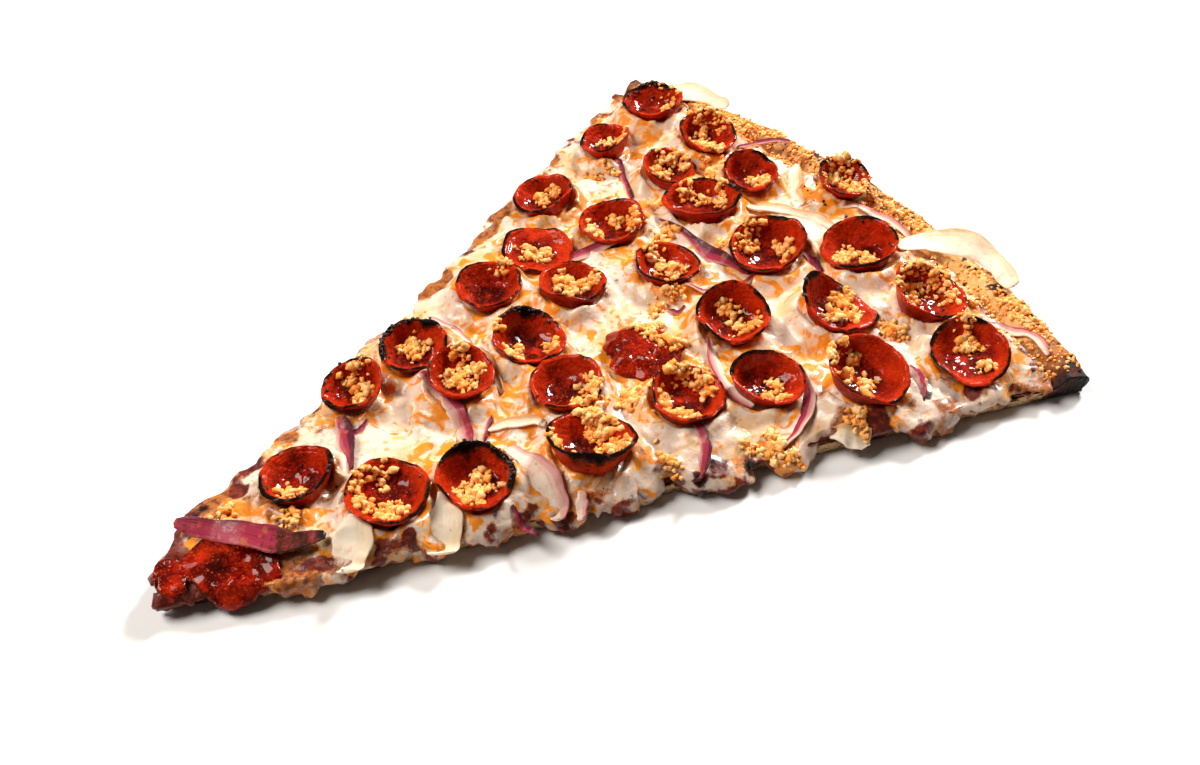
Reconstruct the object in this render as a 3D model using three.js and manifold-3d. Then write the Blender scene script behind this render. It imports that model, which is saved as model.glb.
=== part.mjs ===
// A pepperoni pizza slice: one eighth of a large thin-crust pizza, lying flat. Dough, sauce and melted
// cheese run through it from the tip to the rim. On the cheese lie small pepperoni slices that have
// curled into cups, strips of red onion, softened white onion and lumps of roasted minced garlic.
//
// Units are millimetres. The slice is drawn with its tip at the origin and its middle line along +X,
// the near cut edge at -Y and the far one at +Y, and is then centred over its own footprint, with the
// underside of the dough at Z = 0.
import * as THREE from "three";
import { mergeVertices } from "three/addons/utils/BufferGeometryUtils.js";
import Module from "manifold-3d";

const wasm = await Module();
wasm.setup();

// ---- Driving dimensions ----------------------------------------------------------------------------

const RADIUS = 300; // from the tip to the outside of the rim
const HALF_ANGLE = Math.PI / 8; // half of the slice's 45 degrees
const GAP = 0.3; // clearance between two pieces that touch

const DOUGH = 4.4; // thickness of the dough under the toppings
const RIM_RISE = 3.6; // how far the rim stands above the rest of the dough
const RIM_WIDTH = 15; // width of the raised rim
const SAUCE = 0.8; // thickness of the sauce
const SAUCE_REACH = RADIUS - RIM_WIDTH + 1; // where the sauce ends
const CHEESE = 3.1; // mean thickness of the cheese
const CHEESE_REACH = RADIUS - RIM_WIDTH; // where the cheese ends
const CHEESE_UNDERSIDE = DOUGH + SAUCE + 2 * GAP;

const CUP_DEPTH = 0.29; // of a pepperoni cup's rim diameter
const CUP_WALL = 1.7; // thickness of a pepperoni slice
const CUP_SINK = 1.3; // how deep a cup's base is pressed into the cheese
const HANG_CLEAR = 2; // height that anything hanging over a cut edge stays above

// ---- Colours ---------------------------------------------------------------------------------------

const FINISHES = {
  crust: new THREE.MeshStandardMaterial({ color: 0xc98a45, roughness: 0.85, metalness: 0 }),
  sauce: new THREE.MeshStandardMaterial({ color: 0x8e1f0e, roughness: 0.45, metalness: 0 }),
  cheese: new THREE.MeshStandardMaterial({ color: 0xecd9b0, roughness: 0.4, metalness: 0 }),
  pepperoni: new THREE.MeshStandardMaterial({ color: 0xa3200f, roughness: 0.35, metalness: 0 }),
  red_onion: new THREE.MeshStandardMaterial({ color: 0x9c2f5a, roughness: 0.3, metalness: 0 }),
  white_onion: new THREE.MeshStandardMaterial({ color: 0xead9b5, roughness: 0.3, metalness: 0 }),
};

// ---- Toppings --------------------------------------------------------------------------------------
// Places are in the slice's own frame. A lean is how many degrees a cup's axis tips, and heading is the
// direction it tips to, counted from +X towards +Y. Oval is the rim's length over its width, and axis
// the heading of its length; saddle is how far the rim rises there, as a share of the diameter. Each
// lump of garlic in a cup is [heading, share of the rim's radius].

const CUPS = [
  { x: 262, y: 88, rim: 24.5, lean: 4, heading: 107, garlic: [[-40, 0.5]] },
  { x: 232, y: 80, rim: 21, lean: 14, heading: 129, garlic: [[-20, 0.5]] },
  { x: 192, y: 67, rim: 22, lean: 15, heading: 141, garlic: [[100, 0.3], [10, 0.5]] },
  { x: 264, y: 59, rim: 22.5, lean: 12, heading: -87, garlic: [[70, 0.5], [20, 0.5], [180, 0.4], [-100, 0.4]] },
  { x: 238, y: 52, rim: 21, lean: 9, heading: -50, garlic: [[70, 0.5], [20, 0.5], [160, 0.2]] },
  { x: 262, y: 31, rim: 21, lean: 12, heading: -138, garlic: [[-90, 0.3]] },
  { x: 285, y: 6, rim: 21.5, lean: 12, heading: -69, garlic: [[50, 0.2], [130, 0.5], [-70, 0.5]] },
  { x: 234, y: 27, rim: 26, lean: 7, heading: 107, oval: 1.25, axis: -38, garlic: [[90, 0.5], [40, 0.4], [-10, 0.5]] },
  { x: 201, y: 39, rim: 24, lean: 9, heading: 141, garlic: [[150, 0.5], [-20, 0.5], [40, 0.4]] },
  { x: 172, y: 47, rim: 25, lean: 3, heading: 141, depth: 0.13, garlic: [[170, 0.2]] },
  { x: 146, y: 39, rim: 23.5, lean: 5, heading: 178, garlic: [[30, 0.5]] },
  { x: 168, y: 21, rim: 23.5, lean: 7, heading: 24, garlic: [[90, 0.5], [70, 0.2], [-10, 0.5]] },
  { x: 201, y: 9.5, rim: 22.5, lean: 6, heading: -48, garlic: [[90, 0.5], [80, 0.2]] },
  { x: 235.5, y: -7, rim: 27, lean: 13, heading: 177, oval: 1.1, axis: 0, garlic: [[130, 0.5], [0, 0.4], [-40, 0.4]] },
  { x: 260, y: -28, rim: 27, lean: 11, heading: 141, oval: 1.1, axis: -30, garlic: [[130, 0.4], [160, 0.5]] },
  { x: 258, y: -58, rim: 27, lean: 15, heading: -55, garlic: [[60, 0.5], [10, 0.5], [130, 0.45], [-50, 0.5]] },
  { x: 249, y: -85.5, rim: 26, lean: 13, heading: -129, depth: 0.2, garlic: [[50, 0.5], [40, 0.2], [-80, 0.5]] },
  { x: 231, y: -42.5, rim: 26, lean: 14, heading: -63, oval: 1.1, axis: -63, saddle: 0.07, garlic: [[30, 0.5], [-120, 0.1]] },
  { x: 201, y: -24, rim: 24, lean: 14, heading: -129, garlic: [[60, 0.3], [-100, 0.4], [-60, 0.5]] },
  { x: 167.5, y: -17, rim: 27, lean: 4, heading: 30, dome: true, garlic: [[20, 0.4], [-40, 0.5]] },
  { x: 140, y: 9.5, rim: 24, lean: 11, heading: -71, garlic: [[-160, 0.5], [160, 0.5], [-50, 0.5]] },
  { x: 109.5, y: 30, rim: 23, lean: 8, heading: -140, garlic: [[60, 0.4], [-20, 0.1]] },
  { x: 85.5, y: 27, rim: 21, lean: 14, heading: 172, garlic: [[80, 0.5], [-40, 0.3], [-110, 0.3]] },
  { x: 113, y: 9, rim: 22, lean: 8, heading: -60, lift: 1.5, garlic: [[60, 0.5], [120, 0.3], [-90, 0.3], [-10, 0.5]] },
  { x: 137, y: -15.5, rim: 24, lean: 4, heading: -129, garlic: [[-50, 0.5]] },
  { x: 163, y: -43, rim: 25, lean: 9, heading: -66, garlic: [[55, 0.5], [0, 0.5], [165, 0.5], [-110, 0.4]] },
  { x: 187, y: -53, rim: 22.5, lean: 14, heading: -63, oval: 1.22, axis: -35, garlic: [[-40, 0.4], [-90, 0.5]] },
  { x: 214, y: -71, rim: 28, lean: 12, heading: -71, garlic: [[80, 0.5], [110, 0.5], [140, 0.3], [-100, 0.2]] },
  { x: 126, y: -41.5, rim: 26.5, lean: 17, heading: 40, garlic: [[40, 0.5], [140, 0.5], [160, 0.3], [-20, 0.5]] },
  { x: 93, y: -28.5, rim: 24, lean: 11, heading: -143, garlic: [[80, 0.1], [-170, 0.5], [-120, 0.4]] },
  { x: 68.5, y: -18, rim: 25, lean: 4, heading: -5, garlic: [[90, 0.5], [35, 0.5], [150, 0.5], [-120, 0.4]] },
  { x: 52, y: 4, rim: 22.5, lean: 12, heading: 118, garlic: [[-120, 0.2], [-170, 0.5]] },
];

// The pepperoni that lies flat at the tip, as ovals.
const FLATS = {
  pepperoni_tip: { x: 22, y: -8.4, length: 27, width: 20, heading: -42 },
  pepperoni_tip_end: { x: 6.4, y: -0.4, length: 10.5, width: 7.6, heading: 75 },
};

// A strip of onion: its finish, the points of its middle line from above, its width and thickness, and
// how many degrees it is turned on edge.
const STRIPS = {
  onion_far_short: { finish: "red_onion", path: [[231, 67], [226, 61], [220, 53]], width: 2.8, turn: 20 },
  onion_far_curl: { finish: "red_onion", path: [[181, 32], [187, 27], [193, 25.5]], width: 3, turn: 15 },
  onion_middle_long: { finish: "red_onion", path: [[214, 28], [216.5, 16], [217, 2], [217.5, -6]], width: 3.6, turn: 20 },
  onion_rim_left: { finish: "red_onion", path: [[276, 45], [283, 42], [290, 38]], width: 2.6, turn: 20 },
  onion_cup_cradle: { finish: "red_onion", path: [[186, -31], [180, -36], [176.5, -42], [175.5, -49], [177, -56]], width: 3, turn: -15 },
  onion_near_arc: { finish: "red_onion", path: [[202, -59], [198, -66], [189, -71], [178, -74]], width: 3, turn: 15 },
  onion_near_petal: { finish: "red_onion", path: [[157.5, -57], [155, -61], [151, -64.5], [145, -67]], width: 4.4, turn: 20 },
  onion_drape_wide: { finish: "red_onion", path: [[109.5, -23], [110.5, -31], [110, -40], [108, -48], [105.5, -53]], width: 4.4, turn: 10 },
  onion_drape_slim: { finish: "red_onion", path: [[116.5, -54.5], [113.5, -54], [110.5, -56.5]], width: 2.2, turn: 10 },
  onion_dangling: { finish: "red_onion", path: [[96, -43], [96, -47], [97.5, -51.5]], width: 2, turn: 10 },
  onion_left_band: { finish: "red_onion", path: [[102, -3.5], [100.5, -10], [99, -15]], width: 4.2, turn: 10 },
  onion_left_short: { finish: "red_onion", path: [[76, 14], [72, 8], [68, -1]], width: 3, turn: 15 },
  onion_tip_wedge: { finish: "red_onion", path: [[13, 8], [21, 1], [31, -6], [41, -13], [49, -18]], width: 6, turn: 8 },
  onion_behind_cup: { finish: "red_onion", path: [[246, -14], [244.5, -20], [243, -25]], width: 3, turn: 15 },
  onion_far_brown: { finish: "red_onion", path: [[123, 43], [125.5, 34], [126, 25]], width: 3, turn: 5 },
  onion_corner: { finish: "red_onion", path: [[270, -78], [275, -85], [276, -93], [272, -100]], width: 3, turn: 15 },
  onion_rim_ring: { finish: "red_onion", path: [[274, -8], [280, -13], [283, -22], [282, -32]], width: 2.6, turn: 15 },
  onion_white_rim: { finish: "white_onion", path: [[275, -38], [284, -42], [290, -51], [291, -61], [288, -71]], width: 7, turn: 18 },
  onion_white_corner: { finish: "white_onion", path: [[271, 101], [279, 93], [285, 84], [288, 74]], width: 6, turn: 12 },
  onion_white_ring: { finish: "white_onion", path: [[281, 27], [275, 20], [269, 12], [266, 5]], width: 3.4, turn: 15 },
  onion_white_drape: { finish: "white_onion", path: [[80.5, -31.5], [76, -37], [72, -41.5]], width: 6, turn: 5 },
  onion_white_petal: { finish: "white_onion", path: [[53.5, -20], [52, -25.5], [47, -29.5]], width: 7.5, turn: 5 },
  onion_white_strand: { finish: "white_onion", path: [[127, 16], [125, 9], [122.5, 0]], width: 3, turn: 10 },
};

// Lumps of garlic on the cheese between the toppings, and along the rim, as [x, y].
const CHEESE_GARLIC = [
  [253, 43], [218, 70], [211, 24], [225.5, 9], [188, -2], [239.5, -63], [200, -85], [168, -69],
  [143, -56], [151, -31], [30, 9], [43, -7], [272, -70], [276, -50],
];
const RIM_GARLIC = [
  [281, -76, 0], [288, -4, 0], [291, -16, 0], [290, -28, 1], [283, 70, 0], [287, 60, 1], [290, 50, 0], [293, 30, 1],
];

// ---- Small helpers ---------------------------------------------------------------------------------

const rad = THREE.MathUtils.degToRad;
const { lerp, smoothstep } = THREE.MathUtils;

/** A repeatable source of numbers from 0 to 1. */
function randomFrom(seed) {
  let state = seed * 7919 + 17;
  return () => {
    state = (state * 16807) % 2147483647;
    return state / 2147483647;
  };
}

/** A BufferGeometry from flat lists of coordinates and triangle corners. */
function geometryOf(positions, index) {
  const made = new THREE.BufferGeometry();
  made.setAttribute("position", new THREE.Float32BufferAttribute(positions, 3));
  made.setIndex(index);
  made.computeVertexNormals();
  return made;
}

/** A closed geometry, with its seams merged, as a manifold-3d solid. */
function solidOf(geometry) {
  const bare = new THREE.BufferGeometry();
  bare.setAttribute("position", geometry.getAttribute("position"));
  bare.setIndex(geometry.index);
  const merged = mergeVertices(bare, 1e-4);
  const corners = merged.index.array;
  const kept = [];
  for (let i = 0; i < corners.length; i += 3) {
    const [a, b, c] = corners.slice(i, i + 3);
    if (a !== b && b !== c && c !== a) kept.push(a, b, c);
  }
  const vertProperties = new Float32Array(merged.getAttribute("position").array);
  return new wasm.Manifold(new wasm.Mesh({ numProp: 3, vertProperties, triVerts: new Uint32Array(kept) }));
}

/** A manifold-3d solid as a geometry. */
function geometryFrom(solid) {
  const { vertProperties, triVerts } = solid.getMesh();
  return geometryOf(Array.from(vertProperties), Array.from(triVerts));
}

/** Moves every vertex of a geometry to move(x, y, z), which returns the new place as a list. */
function reshape(geometry, move) {
  const places = geometry.getAttribute("position");
  for (let i = 0; i < places.count; i++) {
    places.setXYZ(i, ...move(places.getX(i), places.getY(i), places.getZ(i)));
  }
  return geometry;
}

function named(name, geometry, finish) {
  const mesh = new THREE.Mesh(geometry, FINISHES[finish]);
  mesh.name = name;
  return mesh;
}

// ---- Outline of the slice --------------------------------------------------------------------------

/** How far the near cut edge bows out from a straight cut at radius r. */
const nearBow = (r) => 6 * Math.exp(-(((r - 75) / 95) ** 2));
/** How far the far cut edge bows out from a straight cut at radius r. */
const farBow = (r) => 0.8 + 5.5 * Math.exp(-(((r - 25) / 14) ** 2));
const BLUNT_TIP = 1.2; // half of the angle that the rounded tip spans, in radians

/** The angles, about the tip, at which radius r meets the near and the far cut edge. */
function edgeAngles(r) {
  const near = Math.min(BLUNT_TIP, HALF_ANGLE + nearBow(r) / r);
  const far = Math.min(BLUNT_TIP, HALF_ANGLE + farBow(r) / r);
  return [-near, far];
}

/** How far a point lies inside the nearest cut edge; outside the slice it is below zero. */
function insideBy(x, y) {
  const r = Math.hypot(x, y);
  const [near, far] = edgeAngles(Math.max(r, 1));
  const angle = Math.atan2(y, x);
  return r * Math.min(angle - near, far - angle);
}

/** Joins two rows of points, each with its share of the way across, with triangles that face up. */
function joinRows(inner, outer, index) {
  let i = 0;
  let j = 0;
  while (i < inner.length - 1 || j < outer.length - 1) {
    const nextInner = i < inner.length - 1 ? inner[i + 1].share : Infinity;
    const nextOuter = j < outer.length - 1 ? outer[j + 1].share : Infinity;
    if (nextOuter <= nextInner) {
      index.push(inner[i].id, outer[j].id, outer[j + 1].id);
      j += 1;
    } else {
      index.push(inner[i].id, outer[j].id, inner[i + 1].id);
      i += 1;
    }
  }
}

/**
 * A closed layer of the slice: a top of rows of points at the given radii, then rings that go down
 * round its boundary, then a flat underside. Each ring is a function of the boundary point that says
 * how far out it lies from the boundary and at what height.
 */
function sliceLayer({ radii, spacing, top, rings }) {
  const positions = [];
  const index = [];
  const put = (x, y, z) => positions.push(x, y, z) / 3 - 1;

  const rows = radii.map((r) => {
    const [near, far] = edgeAngles(r);
    const count = Math.max(3, Math.ceil((r * (far - near)) / spacing(r)) + 1);
    return Array.from({ length: count }, (_, j) => {
      const share = j / (count - 1);
      const angle = lerp(near, far, share);
      const [x, y] = [r * Math.cos(angle), r * Math.sin(angle)];
      return { share, x, y, r, side: "", id: put(x, y, top(x, y)) };
    });
  });
  rows.slice(1).forEach((row, i) => joinRows(rows[i], row, index));

  const last = rows[rows.length - 1];
  const tagged = (points, side) => points.map((p) => ({ ...p, side }));
  const boundary = [
    ...tagged(rows.map((row) => row[0]), "near"),
    ...tagged(last.slice(1, -1), "rim"),
    ...tagged(rows.map((row) => row[row.length - 1]).reverse(), "far"),
    ...tagged(rows[0].slice(1, -1).reverse(), "tip"),
  ];
  const total = boundary.length;
  boundary.forEach((p, i) => {
    const before = boundary[(i + total - 1) % total];
    const after = boundary[(i + 1) % total];
    p.out = new THREE.Vector2(after.y - before.y, before.x - after.x).normalize();
  });

  let upper = boundary.map((p) => p.id);
  let outline = [];
  for (const ring of rings) {
    outline = boundary.map((p) => {
      const { out, z } = ring(p);
      return { x: p.x + p.out.x * out, y: p.y + p.out.y * out, z };
    });
    const lower = outline.map((p) => put(p.x, p.y, p.z));
    lower.forEach((_, i) => {
      const next = (i + 1) % total;
      index.push(upper[i], lower[i], lower[next], upper[i], lower[next], upper[next]);
    });
    upper = lower;
  }
  const contour = outline.map((p) => new THREE.Vector2(p.x, p.y));
  for (const [a, b, c] of THREE.ShapeUtils.triangulateShape(contour, [])) {
    index.push(upper[a], upper[c], upper[b]);
  }
  return geometryOf(positions, index);
}

/** Radii from the tip outwards: close together round the tip, then a step apart, up to the last. */
function radiiUpTo(last, step, tipRadii) {
  const start = tipRadii[tipRadii.length - 1];
  const count = Math.round((last - start) / step);
  const rest = Array.from({ length: count }, (_, i) => lerp(start, last, (i + 1) / count));
  return [...tipRadii, ...rest];
}

// ---- Dough -----------------------------------------------------------------------------------------

/** Height of the dough's top: flat under the toppings, then up over a lumpy rim and down again. */
function doughTop(x, y) {
  const r = Math.hypot(x, y);
  const arc = Math.atan2(y, x) * RADIUS;
  const rise = smoothstep(r, RADIUS - RIM_WIDTH + 1, RADIUS - RIM_WIDTH / 2);
  const fall = smoothstep(r, RADIUS - RIM_WIDTH / 2.5, RADIUS);
  const lumps = 0.5 * Math.sin(arc / 6.5) + 0.4 * Math.sin(arc / 15 + 1.3) + 0.3 * Math.sin(arc / 3.6);
  return DOUGH + rise * (RIM_RISE + lumps) - fall * 1.6;
}

function makeCrust() {
  const rimStart = RADIUS - RIM_WIDTH;
  const rimRadii = [3, 6, 8.5, 11, 13].map((step) => rimStart + step);
  const radii = [...radiiUpTo(rimStart, 18, [3, 6.5, 10, 15, 20, 30]), ...rimRadii];
  const isRim = (p) => p.side === "rim";
  const geometry = sliceLayer({
    radii,
    spacing: (r) => (r > rimStart ? 8.2 : 30),
    top: doughTop,
    rings: [
      (p) => ({ out: isRim(p) ? 1.7 : 0, z: isRim(p) ? 4.4 : Math.min(2.6, doughTop(p.x, p.y) / 2) }),
      (p) => ({ out: isRim(p) ? -0.5 : -0.3, z: 0 }),
    ],
  });
  const rimGarlic = RIM_GARLIC.map(([x, y, inwards], i) => lump(x - inwards * 2, y, doughTop(x - inwards * 2, y), 2.1, i));
  return named("crust", fuse(geometry, rimGarlic), "crust");
}

// ---- Sauce -----------------------------------------------------------------------------------------

// Where the near cut edge has no cheese over it: [radius, width along it].
const OPEN_SPOTS = [[24, 7], [60, 6], [177, 7], [221, 8], [281, 13]];

/** From 0 to 1, how open the cut edge is beside a boundary point. */
function openness(p) {
  if (p.side !== "near") return 0;
  return Math.max(...OPEN_SPOTS.map(([at, width]) => Math.exp(-(((p.r - at) / width) ** 2))));
}

/** How far the sauce oozes out beside a boundary point. */
const ooze = (p) => -0.8 + 0.9 * openness(p);

function makeSauce() {
  const bottom = DOUGH + GAP;
  const geometry = sliceLayer({
    radii: radiiUpTo(SAUCE_REACH - 1, 14, [4, 9, 16, 26]),
    spacing: () => 40,
    top: () => bottom + SAUCE,
    rings: [
      (p) => ({ out: ooze(p), z: bottom + SAUCE / 2 }),
      (p) => ({ out: ooze(p) - 0.3, z: bottom }),
    ],
  });
  return named("sauce", geometry, "sauce");
}

// ---- Cheese ----------------------------------------------------------------------------------------

// Where cheese has run down over the near and the far cut edge: [radius, width along it, length down].
const NEAR_RUNS = [
  [48, 10, 4.2], [78, 10, 4.8], [98, 12, 4.4], [118, 9, 3.4], [141, 13, 4.8], [160, 9, 4.0], [194, 10, 4.2],
  [208, 8, 3.4], [240, 12, 4.6], [257, 8, 3.2],
];
const FAR_RUNS = [[70, 10, 2.0], [118, 12, 2.6], [160, 10, 3.2], [205, 14, 2.4], [250, 12, 3.0]];

/** How far down the cut edge the cheese hangs beside a boundary point. */
function runLength(p) {
  const runs = { near: NEAR_RUNS, far: FAR_RUNS }[p.side] ?? [];
  const hanging = runs.map(([at, width, length]) => length * Math.exp(-(((p.r - at) / width) ** 2)));
  const film = p.side === "near" ? 1.8 * (1 - openness(p)) : 0;
  return 0.5 + Math.max(film, ...hanging, 0);
}

/** Height of the cheese: gently lumpy, thin towards the cut edges, pressed down under each cup. */
function cheeseTop(x, y) {
  const wave = 0.35 * Math.sin(x / 9 + y / 17) + 0.3 * Math.sin(y / 7 - x / 23) + 0.25 * Math.sin((x + y) / 5.3);
  const edge = smoothstep(insideBy(x, y), -1, 9);
  const outer = 1 - smoothstep(Math.hypot(x, y), CHEESE_REACH - 8, CHEESE_REACH + 2);
  const pressed = CUPS.reduce((deepest, cup) => {
    const away = Math.hypot(x - cup.x, y - cup.y) / (cup.rim / 2);
    return Math.max(deepest, CUP_SINK * (1 - smoothstep(away, 0.75, 1.25)));
  }, 0);
  const thickness = (CHEESE + wave) * lerp(0.55, 1, edge) * lerp(0.5, 1, outer);
  return CHEESE_UNDERSIDE + Math.max(1, thickness - pressed);
}

function makeCheese() {
  const clear = 0.55; // from the cut side of the dough to the inside of a run
  const isCut = (p) => p.side !== "rim";
  const fullness = (p) => Math.min(1, (runLength(p) - 0.5) / 3);
  const lip = (p) => CHEESE_UNDERSIDE - (isCut(p) ? runLength(p) : 0.05);
  const geometry = sliceLayer({
    radii: radiiUpTo(CHEESE_REACH, 8, [3.4, 6.5, 10, 15, 20]),
    spacing: () => 8.2,
    top: cheeseTop,
    rings: [
      (p) => ({ out: isCut(p) ? 1.1 + 2.0 * fullness(p) : 0.8, z: lerp(cheeseTop(p.x, p.y), lip(p), 0.5) }),
      (p) => ({ out: isCut(p) ? 1.0 + 1.4 * fullness(p) : 0.9, z: lip(p) }),
      (p) => ({ out: isCut(p) ? clear : 0.2, z: isCut(p) ? lip(p) + 0.1 : CHEESE_UNDERSIDE }),
      (p) => ({ out: isCut(p) ? clear - 0.05 : 0, z: CHEESE_UNDERSIDE }),
    ],
  });
  return named("cheese", geometry, "cheese");
}

// ---- Garlic ----------------------------------------------------------------------------------------

/** A lump of minced garlic, half sunk at height z. */
function lump(x, y, z, size, seed) {
  const random = randomFrom(seed + 1);
  const ball = new THREE.IcosahedronGeometry(size, 0);
  ball.deleteAttribute("normal");
  ball.deleteAttribute("uv");
  const geometry = mergeVertices(ball, 1e-3);
  const jitter = () => size * 0.3 * (random() - 0.5);
  reshape(geometry, (u, v, w) => [u * 1.15 + jitter(), v * 0.95 + jitter(), w * 0.85 + jitter()]);
  geometry.rotateZ(random() * Math.PI);
  return geometry.translate(x, y, z + size * 0.3);
}

/** One geometry of a piece and the lumps that are stuck to it. */
function fuse(geometry, lumps) {
  const joined = lumps.reduce((solid, one) => solid.add(solidOf(one)), solidOf(geometry));
  return geometryFrom(joined);
}

// ---- Pepperoni -------------------------------------------------------------------------------------

/** Half of a cup's section, from the middle of its underside, over the rim, to the middle inside. */
function cupSection(radius, depth) {
  const wall = CUP_WALL;
  return [
    [0, 0],
    [radius * 0.64, depth * 0.05],
    [radius, depth],
    [radius - wall * 0.75, depth - 0.1],
    [radius * 0.86 - wall, depth * 0.5 + wall * 0.35],
    [radius * 0.5, depth * 0.06 + wall],
    [0, wall],
  ].map(([x, y]) => new THREE.Vector2(x, y));
}

/** The inside height of a cup at a share of its radius. */
function cupFloor(radius, depth, share) {
  const section = cupSection(radius, depth).slice(3).reverse();
  const at = radius * share;
  const k = Math.max(1, section.findIndex((p) => p.x >= at));
  const [a, b] = [section[k - 1], section[k]];
  return lerp(a.y, b.y, (at - a.x) / (b.x - a.x));
}

/** A cup in its own frame, standing on the middle of its base, with its garlic. */
function cupGeometry({ rim, oval = 1, axis = 0, saddle = 0, depth = CUP_DEPTH, dome = false, garlic }, seed) {
  const radius = rim / 2;
  const deep = rim * depth;
  const sides = 12;
  const random = randomFrom(seed + 40);
  const [phase, sway] = [random() * Math.PI * 2, 0.05 * rim * (0.4 + 0.6 * random())];
  const geometry = new THREE.LatheGeometry(cupSection(radius, deep), sides).rotateX(Math.PI / 2);
  if (dome) geometry.rotateX(Math.PI).translate(0, 0, deep);
  const turn = rad(axis);
  const bend = (x, y, z) => {
    const angle = Math.atan2(y, x) - turn;
    const share = Math.hypot(x, y) / radius;
    const along = Math.hypot(x, y) * Math.cos(angle) * Math.sqrt(oval);
    const across = (Math.hypot(x, y) * Math.sin(angle)) / Math.sqrt(oval);
    const lifted = share ** 2 * (saddle * rim * Math.cos(2 * angle) + sway * Math.cos(3 * angle + phase) * 0.5);
    const nx = along * Math.cos(turn) - across * Math.sin(turn);
    const ny = along * Math.sin(turn) + across * Math.cos(turn);
    return [nx, ny, z + lifted];
  };
  reshape(geometry, bend);
  const lumps = garlic.map(([heading, share], i) => {
    const [x, y] = [Math.cos(rad(heading)) * share * radius, Math.sin(rad(heading)) * share * radius];
    const z = dome ? deep - cupFloor(radius, deep, share) + CUP_WALL : cupFloor(radius, deep, share);
    return lump(...bend(x, y, z), rim * 0.105, seed * 10 + i);
  });
  return fuse(geometry, lumps);
}

// ---- Laying pieces on the slice --------------------------------------------------------------------

const caster = new THREE.Raycaster();

/** The first height at which the meshes are met from above, or nothing where there is none. */
function surfaceBelow(meshes, x, y) {
  caster.set(new THREE.Vector3(x, y, 100), new THREE.Vector3(0, 0, -1));
  return caster.intersectObjects(meshes, false)[0]?.point.z;
}

/** The first height at which the meshes are met from below, or nothing where there is none. */
function surfaceAbove(meshes, x, y) {
  caster.set(new THREE.Vector3(x, y, -100), new THREE.Vector3(0, 0, 1));
  return caster.intersectObjects(meshes, false)[0]?.point.z;
}

/** The places of a mesh's vertices in the slice's frame. */
function cornersOf(mesh) {
  mesh.updateMatrixWorld(true);
  const places = mesh.geometry.getAttribute("position");
  const corner = (_, i) => new THREE.Vector3().fromBufferAttribute(places, i).applyMatrix4(mesh.matrixWorld);
  return Array.from({ length: places.count }, corner);
}

/** How much higher a mesh has to stand to be a gap above the meshes that lie under it. */
function missingHeight(mesh, under, gap) {
  const corners = cornersOf(mesh);
  const box = new THREE.Box2().setFromPoints(corners);
  const heights = [
    ...corners.map((p) => p.z - (surfaceBelow(under, p.x, p.y) ?? -Infinity)),
    ...under.flatMap((lower) =>
      cornersOf(lower)
        .filter((p) => box.containsPoint(p))
        .map((p) => (surfaceAbove([mesh], p.x, p.y) ?? Infinity) - p.z),
    ),
  ];
  return gap - Math.min(...heights);
}

function makeCup(cup, i, ground) {
  const mesh = named(`pepperoni_${String(i + 1).padStart(2, "0")}`, cupGeometry(cup, i), "pepperoni");
  const heading = rad(cup.heading);
  const tippingAxis = new THREE.Vector3(-Math.sin(heading), Math.cos(heading), 0);
  mesh.quaternion.setFromAxisAngle(tippingAxis, rad(cup.lean));
  mesh.position.set(cup.x, cup.y, 0);
  mesh.position.z = missingHeight(mesh, ground, GAP) + (cup.lift ?? 0);
  mesh.updateMatrixWorld(true);
  return mesh;
}

/** The height of the laid surface at a point, with a fall away beyond the cut edges. */
function drapeHeight(ground, x, y) {
  const past = Math.max(0, 1 - insideBy(x, y));
  const r = Math.hypot(x, y);
  const back = past > 0 ? 1 - past / r : 1;
  const level = surfaceBelow(ground, x * back, y * back) ?? CHEESE_UNDERSIDE + CHEESE;
  const drop = past < 4 ? past ** 2 / 8 : past - 2;
  return Math.max(HANG_CLEAR, level - drop);
}

/** A pepperoni slice, or a piece of one, that has stayed flat and hangs over the cut edge. */
function makeFlat(name, { x: middleX, y: middleY, length, width, heading }, ground) {
  const half = CUP_WALL / 2;
  const section = [[0, -half], [0.96, -half], [1, 0], [0.95, half], [0.5, half], [0, half]];
  const points = section.map(([share, z]) => new THREE.Vector2(share, z));
  const geometry = new THREE.LatheGeometry(points, 12).rotateX(Math.PI / 2);
  const turn = rad(heading);
  reshape(geometry, (u, v, z) => {
    const ragged = 1 + 0.06 * Math.sin(Math.atan2(v, u) * 5 + middleX);
    const along = (u * ragged * length) / 2;
    const across = (v * ragged * width) / 2;
    const x = middleX + along * Math.cos(turn) - across * Math.sin(turn);
    const y = middleY + along * Math.sin(turn) + across * Math.cos(turn);
    return [x, y, drapeHeight(ground, x, y) + z];
  });
  const mesh = named(name, geometry, "pepperoni");
  mesh.position.z = Math.max(0, missingHeight(mesh, ground, GAP));
  mesh.updateMatrixWorld(true);
  return mesh;
}

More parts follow.
